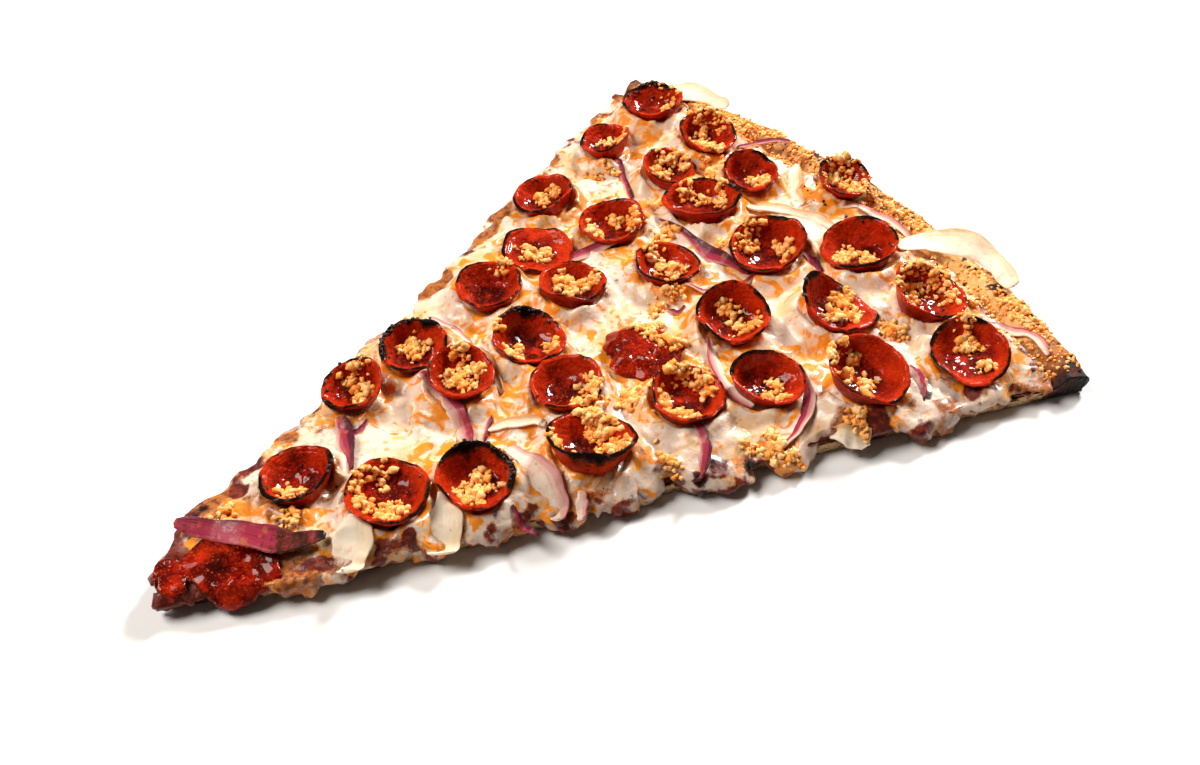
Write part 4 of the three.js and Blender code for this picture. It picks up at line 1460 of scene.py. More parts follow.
    def _lay(self, out: Array, up: Array, angle: Array, share: Array) -> Array:
        """Makes the cup oval, tips it and sets it down where it lies.

        Args:
            out: How far each vertex lies from the axis.
            up: How high each lies over the lowest.
            angle: Its direction from the axis, in radians.
            share: How far out it lies, as a share of the rim's radius.

        Returns:
            Places in the plan, one in a row.
        """
        phase, sway = self._sway()
        turn, tip, head = (math.radians(value) for value in (self.axis, self.lean, self.heading))
        gap = angle - turn
        up = up + share**2 * (self.saddle * self.rim * np.cos(2 * gap) + sway * np.cos(3 * gap + phase) * 0.5)
        stretch = math.sqrt(self.oval)
        x, y = turned(out * np.cos(gap) * stretch, out * np.sin(gap) / stretch, turn)
        toward, aside = turned(x, y, -head)
        raised = np.maximum(0.5 * self.rim * 0.64 - toward, 0.0) * math.sin(tip)
        toward, up = turned(toward, up, -tip)
        x, y = turned(toward, aside, head)
        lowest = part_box(self.node)[0][2] / MM - self.sunk
        up = up - up.min() - 0.6 * raised * fall(share, 0.6, 1.0)
        return in_plan(x + self.x, y + self.y, up + lowest)

    def make(self, curled: Material, level: Material) -> Object:
        """The finished cup, in one material where it has curled and another where it lies level."""
        finish = level if self.form is CupForm.DOME else curled
        piece = self.build(Noise(100 + self.number)).to_object(f"cup_{self.number:02d}", finish, 0.01)
        return settle_on_body(piece, "pepperoni", self.node)

    def lump_places(self) -> list[Pair]:
        """Where its lumps of garlic lie, in the plan."""
        return [around(self.x, self.y, share * self.rim / 2, math.radians(heading))
                for heading, share in self.garlic]


def burn(*headings: float, spread: float = 45.0, strength: float = 0.8) -> tuple[Triple, ...]:
    """Burnt stretches of a rim at some headings."""
    return tuple((heading, spread, strength) for heading in headings)


BACK, FRONT, LEFT, RIGHT = 51.0, -129.0, 141.0, -39.0

CUPS = [
    Cup(1, 262, 88, 24.5, 4, 107, burn(BACK, 90, spread=60, strength=1.0), ((-40, 0.5),)),
    Cup(2, 232, 80, 21, 14, 129, burn(FRONT, LEFT, strength=0.6), ((-20, 0.6), (20, 0.4))),
    Cup(3, 192, 67, 22, 15, 141, burn(FRONT, spread=60, strength=0.7), ((100, 0.3), (10, 0.5))),
    Cup(4, 264, 59, 22.5, 12, -87, burn(RIGHT, strength=0.4),
        ((70, 0.75), (30, 0.8), (0, 0.8), (180, 0.4), (-100, 0.4), (60, 0.3))),
    Cup(5, 238, 52, 21, 9, -50, burn(RIGHT, strength=0.3),
        ((70, 0.7), (30, 0.7), (160, 0.2), (0, 0.8), (100, 0.5))),
    Cup(6, 262, 31, 21, 12, -138, burn(BACK, 0, strength=0.6), ((-90, 0.3), (-60, 0.5))),
    Cup(7, 285, 6, 21.5, 12, -69, burn(90, 20, spread=35, strength=0.5),
        ((50, 0.7), (50, 0.2), (130, 0.6), (-70, 0.6), (100, 0.4))),
    Cup(8, 234, 27, 26, 7, 107, burn(BACK, RIGHT, spread=35, strength=0.7),
        ((90, 0.7), (40, 0.4), (10, 0.8), (-20, 0.6)), 1.25, -38),
    Cup(9, 201, 39, 24, 9, 141, burn(BACK, strength=0.4),
        ((140, 0.6), (170, 0.7), (-10, 0.7), (-30, 0.7), (40, 0.4))),
    Cup(10, 172, 47, 25, 3, 141, burn(LEFT, strength=0.4), ((150, 0.2), (-140, 0.3), (-80, 0.4)),
        depth=0.13, flap=(-80, 60, 0.6), dents=((60, 0.5, 4.0, 1.2), (-150, 0.4, 4.0, -0.8))),
    Cup(11, 146, 39, 23.5, 5, 178, burn(FRONT, strength=0.25), ((30, 0.8),)),
    Cup(12, 168, 21, 23.5, 7, 24, burn(BACK, FRONT, spread=55, strength=0.45),
        ((90, 0.6), (70, 0.2), (-10, 0.7), (0, 0.4))),
    Cup(13, 201, 9.5, 22.5, 6, -48, burn(BACK, FRONT, strength=0.45),
        ((90, 0.8), (80, 0.5), (90, 0.1), (-40, 0.3))),
    Cup(14, 235.5, -7, 27, 13, 177, burn(BACK, strength=0.5),
        ((90, 0.8), (0, 0.4), (-40, 0.4), (130, 0.75), (110, 0.6)), 1.1, 0),
    Cup(15, 260, -28, 27, 11, 141, burn(60, FRONT, strength=0.6),
        ((130, 0.4), (160, 0.6), (-90, 0.2)), 1.1, -30),
    Cup(16, 258, -58, 27, 15, -55, burn(-90, BACK, strength=0.4),
        ((80, 0.8), (50, 0.8), (50, 0.5), (20, 0.8), (140, 0.7), (-30, 0.7), (100, 0.4), (170, 0.6))),
    Cup(17, 249, -85.5, 26, 13, -129, burn(BACK, 90, spread=55, strength=0.6),
        ((50, 0.8), (40, 0.2), (-80, 0.5), (45, 0.5)), depth=0.2),
    Cup(18, 231, -42.5, 26, 14, -63, burn(LEFT, 110, spread=35, strength=0.8),
        ((30, 0.5), (20, 0.8), (-120, 0.1), (10, 0.5), (-60, 0.5)), 1.1, -63, 0.07, flap=(-10, 60, 0.75)),
    Cup(19, 201, -24, 24, 14, -129, burn(BACK, -10, strength=0.4),
        ((60, 0.3), (-100, 0.4), (-60, 0.7), (80, 0.5))),
    Cup(20, 167.5, -17, 27, 4, 30, burn(RIGHT, strength=0.2),
        ((40, 0.9), (70, 0.7), (10, 0.35), (-30, 0.75), (-15, 0.9)), form=CupForm.DOME),
    Cup(21, 140, 9.5, 24, 11, -71, burn(BACK, 100, spread=60, strength=1.15),
        ((130, 0.8), (-160, 0.5), (-170, 0.7), (-50, 0.7))),
    Cup(22, 109.5, 30, 23, 8, -140, burn(BACK, LEFT, 100, spread=50, strength=1.2),
        ((60, 0.4), (-20, 0.1), (100, 0.3))),
    Cup(23, 85.5, 27, 21, 14, 172, burn(LEFT, 180, spread=50, strength=0.7),
        ((80, 0.6), (40, 0.7), (-40, 0.3), (-110, 0.3))),
    Cup(24, 113, 9, 22, 8, -60, burn(0, strength=0.3),
        ((60, 0.8), (120, 0.3), (-90, 0.3), (-10, 0.6), (30, 0.4), (180, 0.2))),
    Cup(25, 137, -15.5, 24, 4, -129, (), ((-50, 0.8), (-30, 0.6))),
    Cup(26, 163, -43, 25, 9, -66, burn(FRONT, strength=0.35),
        ((70, 0.8), (50, 0.8), (20, 0.8), (-10, 0.7), (170, 0.6), (-130, 0.4), (130, 0.6))),
    Cup(27, 187, -53, 22.5, 14, -63, burn(BACK, LEFT, strength=0.5), ((-40, 0.4), (-90, 0.6)), 1.22, -35),
    Cup(28, 214, -71, 28, 12, -71, burn(100, strength=0.3),
        ((80, 0.8), (70, 0.6), (110, 0.8), (140, 0.4), (-100, 0.2), (130, 0.7)),
        dents=((-25, 0.38, 3.6, -2.2), (150, 0.3, 4.5, 1.2))),
    # Cup 29's strong front burn paints a black band down its outer wall: partly char, partly painted shadow
    # under its flared front rim.
    Cup(29, 126, -41.5, 26.5, 17, 40, burn(FRONT, spread=75, strength=1.8),
        ((40, 0.6), (50, 0.8), (20, 0.8), (140, 0.8), (160, 0.4), (-20, 0.5), (-20, 0.8))),
    Cup(30, 93, -28.5, 24, 11, -143, burn(70, 10, RIGHT, spread=40, strength=1.3),
        ((80, 0.1), (-170, 0.5), (-120, 0.4), (-90, 0.3))),
    Cup(31, 68.5, -18, 25, 4, -5, burn(BACK, RIGHT, strength=0.45),
        ((100, 0.8), (60, 0.7), (140, 0.7), (170, 0.6), (-90, 0.3), (-140, 0.5), (-120, 0.6))),
    Cup(32, 52, 4, 22.5, 12, 118, burn(FRONT, -60, spread=55, strength=1.2), ((-120, 0.3), (-170, 0.5))),
]


@dataclass
class FlatSlice:
    """A pepperoni slice that has stayed flat and follows what it lies on.

    It has its full thickness out to a share of its radius, and thins beyond.
    """

    node: str
    seed: int
    x: float
    y: float
    length: float
    width: float
    heading: float
    sides: int = 72
    rows: int = 30
    full_to: float = 0.86

    def make(self, ground: BVHTree, finish: Material) -> Object:
        """The finished slice, laid on the ground.

        Args:
            ground: What it lies on.
            finish: Its material.

        Returns:
            The piece.
        """
        noise = Noise(self.seed)
        body, u, v = Body.sheet(self.sides, self.rows)
        angle = u * 2 * math.pi
        ring = circle(angle, self.x)
        reach = 1.0 - np.abs(2.0 * v - 1.0)
        flat = np.minimum(reach / self.full_to, 1.0)
        ragged = 1.0 + 0.06 * np.sin(angle * 5 + self.x) + 0.05 * noise(ring * 4.0, 1.0, 2)
        along = np.cos(angle) * flat * ragged * self.length / 2
        across = np.sin(angle) * flat * ragged * self.width / 2
        x, y = turned(along, across, math.radians(self.heading))
        x, y = x + self.x, y + self.y
        sheet = np.where(v > 0.5, 0.5, -0.5) * CUP_WALL * (1.0 - smoothstep(reach, self.full_to, 1.0) * 0.9)
        spot = in_plan(x, y, sheet)
        skin = 0.35 * noise(spot, 4.0, 2) + 0.18 * noise(spot + 7.0, 1.5, 2)
        body.places = in_plan(x, y, self._level(x, y, ground) + sheet + CUP_WALL * 0.5 + skin - 0.1)
        body.values.update(
            char=unit(0.55 * smoothstep(flat, 0.9, 1.0) * (0.5 + noise(ring * 5.0, 1.0, 2))),
            # The wall mask paints light shining through the slice in patches, and the next mask darkens
            # patches, partly for fat and partly as painted shade.
            wall=unit(0.1 + 0.7 * noise(spot + 3.0, 5.0, 2)),
            pool=unit(0.7 + 1.2 * noise(spot + 13.0, 6.0, 2)),
        )
        return settle_on_body(body.to_object(self.node + "_slice", finish, 0.01), "pepperoni", self.node)

    def _level(self, x: Array, y: Array, ground: BVHTree) -> Array:
        """The height to lie at, following the ground and then falling past the cut edge.

        Args:
            x: Places along the plan.
            y: Places across the plan.
            ground: What it lies on.

        Returns:
            The height at each place.
        """
        past = np.maximum(0.0, 1.0 - Outline.inside_by(x, y))
        back = 1.0 - past / np.maximum(np.hypot(x, y), 1.0)
        drop = np.where(past < 4.0, past**2 / 8.0, past - 2.0)
        found = [height_at(ground, a, b) or CHEESE_UNDERSIDE + 2.0 for a, b in zip(x * back, y * back)]
        return np.maximum(np.array(found) - drop, 1.6)


# ---- Onion ----


class OnionKind(Enum):
    """The two onions on the slice."""

    RED = "red_onion"
    WHITE = "white_onion"


@dataclass
class OnionStrip:
    """A strip of onion along a path: thin, bowed across and turned a little on edge.

    Pale is how much of its width shows flesh and not skin, and skin is the side of the skin, +1 or -1.
    Lift raises its middle and hang lowers its end, and a limp strip follows the ground all over.
    A petal is broad at its end, and tip is the share of the width that other strips keep at theirs.
    Burns are shares of its length with a strength, and contrast spreads or flattens its tones.
    Checks counts the places where it feels for the ground, and rib is the spacing of its grooves.
    """

    node: str
    path: tuple[Pair, ...]
    width: float
    turn: float = 15.0
    kind: OnionKind = OnionKind.RED
    pale: float = 0.5
    skin: float = 1.0
    twist: float = 20.0
    lift: float = 0.0
    hang: float = 0.0
    burns: tuple[Pair, ...] = ()
    limp: bool = False
    petal: bool = False
    tip: float = 0.16
    contrast: float = 1.0
    solid: bool = True
    sides: int = 64
    rows: int = 26
    checks: int = 25
    rib: float = 0.9

    def _curve(self, share: Array) -> tuple[Array, Array]:
        """Places along the path, by Catmull-Rom, and the directions to the left of it there.

        Args:
            share: How far along the path, from 0 to 1.

        Returns:
            A place and a direction at each share.
        """
        knots = np.array(self.path, float)
        ends = np.vstack([2 * knots[0] - knots[1], knots, 2 * knots[-1] - knots[-2]])
        at = np.clip(share * (len(knots) - 1), 0, len(knots) - 1 - 1e-6)
        i = at.astype(int)
        t = (at - i)[:, None]
        a, b, c, d = (ends[i + k] for k in range(4))
        square, cube = 2 * a - 5 * b + 4 * c - d, 3 * b - a - 3 * c + d
        place = 0.5 * (2 * b + (c - a) * t + square * t**2 + cube * t**3)
        slope = 0.5 * ((c - a) + 2 * square * t + 3 * cube * t**2)
        left = np.column_stack([-slope[:, 1], slope[:, 0]])
        return place, left / np.linalg.norm(slope, axis=1, keepdims=True)

    def build(self, number: int, ground: BVHTree) -> Body:
        """Makes the strip where it lies.

        Args:
            number: Tells its waves and streaks from the other strips'.
            ground: What it lies on.

        Returns:
            The body, in plan millimetres, with the masks that its finish reads.
        """
        noise = Noise(200 + number)
        body, u, v = Body.sheet(self.sides, self.rows)
        thick = 1.2 if self.kind is OnionKind.WHITE else 1.0
        place, left = self._curve(u)
        along = in_plan(u * 10.0, 0 * u, number)
        taper = blend(self.tip, 1.0, np.sin(math.pi * blend(0.03, 0.97, u)) ** 0.7)
        if self.petal:
            taper = blend(0.35, 1.0, smoothstep(u, 0.0, 0.55)) * (1.0 - 0.3 * smoothstep(u, 0.8, 1.0))
        taper = taper * (1.0 + 0.35 * noise(along, 2.5, 2))
        closed = np.where((u < 1e-6) | (u > 1 - 1e-6), 0.0, 1.0)
        cosine, sine = np.cos(v * 2 * math.pi), np.sin(v * 2 * math.pi)
        flat = np.sign(cosine) * np.abs(cosine) ** 0.6
        across = flat * self.width / 2 * taper * closed
        ribs = np.cos(across * 2 * math.pi / self.rib + 2.0 * noise(along, 1.5))
        grooves = (0.015 if self.petal else 0.06) * ribs
        out = np.sign(sine) * np.abs(sine) ** 0.7 * thick / 2 * blend(0.55, 1.0, taper) * closed
        out += grooves * closed * np.abs(sine) + flat**2 * 0.35 * min(self.width, 4.0) * 0.25 * taper
        spot = in_plan(*place.T, number * 9.0)
        out += 0.7 * noise(spot, 7.0, 2)
        tilt = np.radians(self.turn + self.twist * 2.0 * (u - 0.5) + 14.0 * noise(along + 3.0, 4.0))
        sideways = across * np.cos(tilt) - out * np.sin(tilt)
        height = across * np.sin(tilt) + out * np.cos(tilt) + self._base(u, flat, ground)
        body.places = in_plan(*(place + left * sideways[:, None]).T, height)
        length = float(np.sum(np.hypot(*np.diff(np.array(self.path), axis=0).T)))
        burnt = np.max([0 * u, *(strength * bell(u, at, 0.16) for at, strength in self.burns)], axis=0)
        body.values.update(
            pale=self.pale - 0.5 * flat * self.skin * self.contrast, across=flat, along=u * length,
            which=0 * u + number * 0.37, char=unit(burnt + 0.3 * noise(spot + 4.0, 3.0, 2)),
        )
        return body

    def _base(self, u: Array, flat: Array, ground: BVHTree) -> Array:
        """The height that the strip's middle line or, where it is limp, its whole width rests at.

        Args:
            u: How far along the strip each vertex lies, from 0 to 1.
            flat: How far across it, from -1 to 1.
            ground: What it lies on.

        Returns:
            The height at each vertex.
        """
        shares = np.linspace(0, 1, self.checks)
        right, middle, left = (np.interp(u, shares, line) for line in self._levels(ground))
        if self.limp:
            base = middle + (left - right) / 2 * flat + ((left + right) / 2 - middle) * flat**2
        else:
            base = blend(middle, np.max([left, middle, right], axis=0), 0.6)
        return base + self.lift * np.sin(math.pi * u) - self.hang * smoothstep(u, 0.45, 1.0)

    def solid_line(self, count: int) -> tuple[Array, Array]:
        """Places along the middle line and the height of the strip's solid at each."""
        place, _ = self._curve(np.linspace(0, 1, count))
        solid = plan_tree([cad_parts[self.node]])
        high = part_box(self.node)[1][2] / MM - 0.6
        return place, np.array([height_at(solid, x, y) or high for x, y in place])

    def _levels(self, ground: BVHTree) -> list[Array]:
        """Heights of its right, middle and left lines, close to its solid and resting on the ground.

        Args:
            ground: What it lies on.

        Returns:
            The heights along each of the three lines.
        """
        place, left = self._curve(np.linspace(0, 1, self.checks))
        tops = self.solid_line(self.checks)[1] if self.solid else np.full(self.checks, math.nan)
        lines = []
        for reach in (-0.35, 0.0, 0.35):
            line = place + left * self.width * reach
            level = np.array([height_at(ground, x, y) or math.nan for x, y in line]) + 0.35
            level = np.where(np.isnan(level), tops - 0.6 if self.solid else CHEESE_UNDERSIDE, level)
            if self.solid:
                level = np.clip(level, tops - 2.2, tops + 1.5)
            lines.append(smoothed(level, "edge"))
        return lines

    def make(self, number: int, ground: BVHTree, finish: Material) -> Object:
        """The finished strip, laid on the ground."""
        piece = self.build(number, ground).to_object(self.node + "_strip", finish, 0.004)
        return settle_on_body(piece, self.kind.value, *([self.node] if self.solid else []))


WHITE = OnionKind.WHITE

STRIPS = [
    OnionStrip("onion_far_short", ((230.5, 73), (226, 63), (219.5, 51)), 3.2, 25, pale=0.1),
    OnionStrip("onion_far_curl", ((175.8, 38), (184, 35.5), (191, 33), (198, 31)), 3.8, 20,
        pale=0.35, hang=-2.5, tip=0.4),
    OnionStrip("onion_middle_long",
        ((218, 34), (219.5, 20), (220, 6), (222, -5), (223.5, -9)), 4.6, 30, pale=0.05),
    OnionStrip("onion_rim_left", ((271.5, 48.5), (282, 44), (288, 41.5), (292, 39.5)), 3.0,
        20, pale=0.25, hang=1.2),
    OnionStrip("onion_cup_cradle", ((190, -25), (183.5, -34), (179.5, -43.5), (178, -51), (178.5, -58)),
        4.6, -25, pale=0.8, skin=-1, tip=0.4),
    OnionStrip("onion_near_arc", ((203, -55), (197, -65), (188, -71), (175, -75)), 4.2, 35,
        pale=0.35, skin=-1, tip=0.3),
    OnionStrip("onion_near_petal", ((159, -53), (156, -60), (151, -65), (144, -68)), 6.0, 38, pale=0.3,
        hang=1.5, burns=((1.0, 0.6),)),
    OnionStrip("onion_drape_wide", ((109, -22), (110.5, -31), (109.5, -40), (107.5, -48), (105, -54)), 8.0,
        6, pale=0.95, hang=1.0, limp=True, tip=0.5),
    OnionStrip("onion_drape_slim", ((116, -50), (113.5, -53.5), (110.5, -57.5)), 4.0, 10, pale=0.85,
        hang=1.0, limp=True, tip=0.4),
    OnionStrip("onion_dangling", ((96, -42), (96, -47), (97, -54)), 2.6, 25, pale=-0.1,
        hang=3.5, burns=((1.0, 0.5),)),
    OnionStrip("onion_left_band", ((105.5, 9), (105, 0), (103, -7), (100, -15)), 5.2,
        18, pale=0.45, tip=0.4),
    OnionStrip("onion_left_short", ((75.5, 21), (73.2, 14), (70, 6), (66, -1)), 4.4, 30, pale=0.1, tip=0.4),
    OnionStrip("onion_tip_wedge",
        ((15, 11), (20.5, 4.5), (26.5, -3), (32.5, -9), (39.5, -14.5), (48, -17.5)), 9.5, 24, pale=0.16,
        twist=-6, lift=0.4, burns=((1.05, 0.95), (0.86, 0.6), (0.7, 0.42)), tip=0.03, contrast=0.4),
    OnionStrip("onion_behind_cup", ((246, -14), (244.5, -20), (243, -25)), 3.2, 20, pale=0.1),
    OnionStrip("onion_far_brown", ((123, 45), (126, 35), (127, 23)), 3.4, 8, pale=0.8,
        burns=((0.5, 0.3),), limp=True),
    OnionStrip("onion_corner", ((269, -77), (275, -85), (276.5, -93), (272, -101)), 3.8, 18, pale=0.75),
    OnionStrip("onion_rim_ring",
        ((276, -3), (282.5, -8), (286, -17), (285.5, -26), (283, -33)), 3.4, 18, pale=0.8),
    OnionStrip("onion_white_rim", ((271, -34), (284, -38), (292.5, -47), (294, -60), (288.5, -73)), 11.5,
        18, WHITE, 0.9, lift=0.6, tip=0.12),
    OnionStrip("onion_white_corner", ((270, 102), (279, 94), (286.5, 84), (289, 72)), 10.5, 12,
        WHITE, 0.9, lift=0.6),
    OnionStrip("onion_white_ring", ((284, 27.5), (276.5, 21.5), (270, 15), (266.5, 7)), 5.0,
        22, WHITE, 0.7, tip=0.4),
    OnionStrip("onion_white_drape", ((82, -27), (77.5, -34), (71, -41.5)), 9.0, 4, WHITE, 0.9, twist=6,
        hang=2.6, limp=True, petal=True, contrast=0.55),
    OnionStrip("onion_white_petal", ((57, -17), (53, -24), (45, -30)), 14.0, 2, WHITE, 0.9, twist=4,
        hang=2.4, limp=True, petal=True, contrast=0.55),
    OnionStrip("onion_white_strand", ((127, 19), (125, 9), (121, -3)), 3.6, 18, WHITE, 0.5),
    OnionStrip("onion_bit_band", ((103, 17), (104.5, 12), (105.3, 6)), 4.6, 15, pale=0.45,
        tip=0.5, solid=False),
    OnionStrip("onion_bit_behind", ((199, -2), (205, -7), (212, -12), (220, -13), (226, -13)), 2.6, 25,
        pale=0.4, solid=False),
    OnionStrip("onion_bit_dome", ((189, -5), (191, -8), (195, -7)), 2.0, 20, pale=0.1, solid=False),
    OnionStrip("onion_bit_between", ((113, -8), (109, -11), (105, -15)), 1.8, 20, pale=0.2, solid=False),
    OnionStrip("onion_bit_far", ((73, 15), (77, 13), (81.5, 15)), 1.8, 20, pale=0.1, solid=False),
    OnionStrip("onion_bit_near", ((228.6, -77.5), (228, -82), (225.5, -86), (222, -90)), 4.0, 20, pale=0.5,
        hang=2.0, burns=((1.0, 1.0),), solid=False),
    OnionStrip("white_bit_middle", ((109, -11), (115, -14), (121, -18), (123, -23)), 4.0, 15,
        WHITE, 0.6, solid=False),
    OnionStrip("white_bit_ring", ((247, 18), (256, 12), (262, 4), (266, -5), (268, -13)), 4.0, 22,
        WHITE, 0.75, solid=False),
    OnionStrip("white_bit_flap", ((192, -79), (196, -83.5), (201, -88)), 6.0, 8, WHITE, 0.6, limp=True,
        petal=True, solid=False),
]


# ---- Garlic and flecks ----

CHEESE_LUMPS = (
    (256, 49), (262, 49), (255, 44), (253, 43), (224, 69), (218, 70), (216, 26), (211, 24), (228, 6),
    (225.5, 9), (192, 0), (195, -1), (188, -2), (185, -3), (239, -58), (239.5, -63), (201, -81),
    (200, -85), (176, -70), (173, -74), (168, -69), (176, -79), (144, -59), (143, -56), (154, -29),
    (151, -31), (149, -33), (25, 6), (30, 9), (40, -6), (43, -7), (258, -36), (276, -50), (272, -70),
)
SPILL = ((136, -23), (137, -27), (135, -30), (136.5, -33), (133, -31), (134, -38))
RIM_LUMPS = (
    (281, -76), (284, -80), (285, -85), (286, -77), (284, -91), (291, -5), (288, -4), (290, -12),
    (291, -17), (290, -23), (288, -28), (291, -38), (283, 70), (285, 68), (285, 60), (289, 61), (289, 53),
    (290, 50), (289, 46), (293, 46), (293, 36), (291, 30),
)


@dataclass
class Crumbs:
    """Many small lumps of one kind, scattered on the finished pieces and joined into one mesh.

    Around counts the sides of a lump and patterns the shapes that lumps have. A lump that has to lie
    near a height may be a step off it, its middle stands over the ground by a share of its radius, and
    a heap's lumps keep between two sizes.
    """

    name: str
    slot: str
    around: int
    rng: np.random.Generator
    ground: BVHTree
    keep_off: BVHTree | None = None
    stock: list[tuple[float, float, float, float, float]] = field(default_factory=list)
    patterns: int = 9
    step: float = 3.2
    stands: float = 0.35
    sizes: Pair = (0.35, 1.6)

    def put(self, x: float, y: float, size: float, tone: float, lift: float = 0.0,
            near: float | None = None) -> None:
        """Lays one lump down.

        Args:
            x: Its place along the plan.
            y: Its place across the plan.
            size: Its radius in millimetres.
            tone: From 0, pale, to 1, tanned.
            lift: How far it lies above the ground.
            near: A height that the ground has to be close to.
        """
        level = height_at(self.ground, x, y)
        if level is None or (near is not None and abs(level - near) > self.step):
            return
        if self.keep_off and height_at(self.keep_off, x, y) is not None:
            return
        self.stock.append((x, y, level + size * self.stands + lift, size, tone))

    def heap(self, x: float, y: float, count: int, spread: float, size: float) -> None:
        """Lays a small heap of lumps.

        Args:
            x: Its place along the plan.
            y: Its place across the plan.
            count: How many lumps it has.
            spread: How far they scatter, in millimetres.
            size: Their usual radius in millimetres.
        """
        level = height_at(self.ground, x, y)
        stretch, turn = self.rng.uniform(1.0, 1.5), self.rng.uniform(0.0, math.pi)
        for _ in range(count):
            dx, dy = turned(*self.rng.normal(0.0, spread, 2) * (stretch, 1.0 / stretch), turn)
            piled = max(0.0, 1.0 - math.hypot(dx, dy) / (spread * 1.4))
            grown = float(np.clip(size * self.rng.lognormal(-0.1, 0.32), *self.sizes))
            tone = float(unit(self.rng.normal(0.35, 0.22)))
            self.put(x + dx, y + dy, grown, tone, piled * self.rng.uniform(0.0, 1.8) * size, level)

    def _pattern(self, which: int) -> tuple[Array, Array]:
        """The vertices and faces of one angular lump.

        Args:
            which: Its number.

        Returns:
            Places in lengths of its radius, and the vertices of each face.
        """
        bm = bmesh.new()
        bmesh.ops.create_uvsphere(bm, u_segments=self.around, v_segments=4, radius=1.0)
        bmesh.ops.triangulate(bm, faces=bm.faces)
        points = np.array([v.co[:] for v in bm.verts])
        swell = 1.0 + 0.75 * Noise(900 + which)(points * 0.95 + which * 5.0, 1.0, 2)
        faces = np.array([[v.index for v in f.verts] for f in bm.faces])
        bm.free()
        return points * swell[:, None] * np.array([1.15, 0.95, 0.85]), faces

    def make(self, finish: Material) -> Object:
        """The finished mesh of all the lumps.

        Args:
            finish: Their material.

        Returns:
            The piece.
        """
        patterns = [self._pattern(i) for i in range(self.patterns)]
        verts, faces, tones = [], [], []
        start = 0
        for x, y, z, size, tone in self.stock:
            points, corners = patterns[self.rng.integers(len(patterns))]
            spin, tilt = self.rng.uniform(0, 2 * math.pi), self.rng.uniform(-0.8, 0.8)
            across, up = turned(points[:, 1], points[:, 2], tilt)
            lump = in_plan(*turned(points[:, 0], across, spin), up)
            verts.append(lump * size + np.array([x, y, z]) + TIP_IN_FRAME)
            faces.append(corners + start)
            tones.append(np.full(len(points), tone))
            start += len(points)
        mesh = bpy.data.meshes.new(self.name)
        mesh.from_pydata((np.concatenate(verts) * MM).tolist(), [], np.concatenate(faces).tolist())
        tone = np.concatenate(tones)
        for name, values in (("tone", tone), ("char", np.clip((tone - 0.86) * 4.0, 0.0, 0.8))):
            mesh.attributes.new(name, "FLOAT", "POINT").data.foreach_set("value", values)
        mesh.polygons.foreach_set("use_smooth", [True] * len(mesh.polygons))
        return settle_on_body(add_object(self.name, mesh, finish), self.slot)


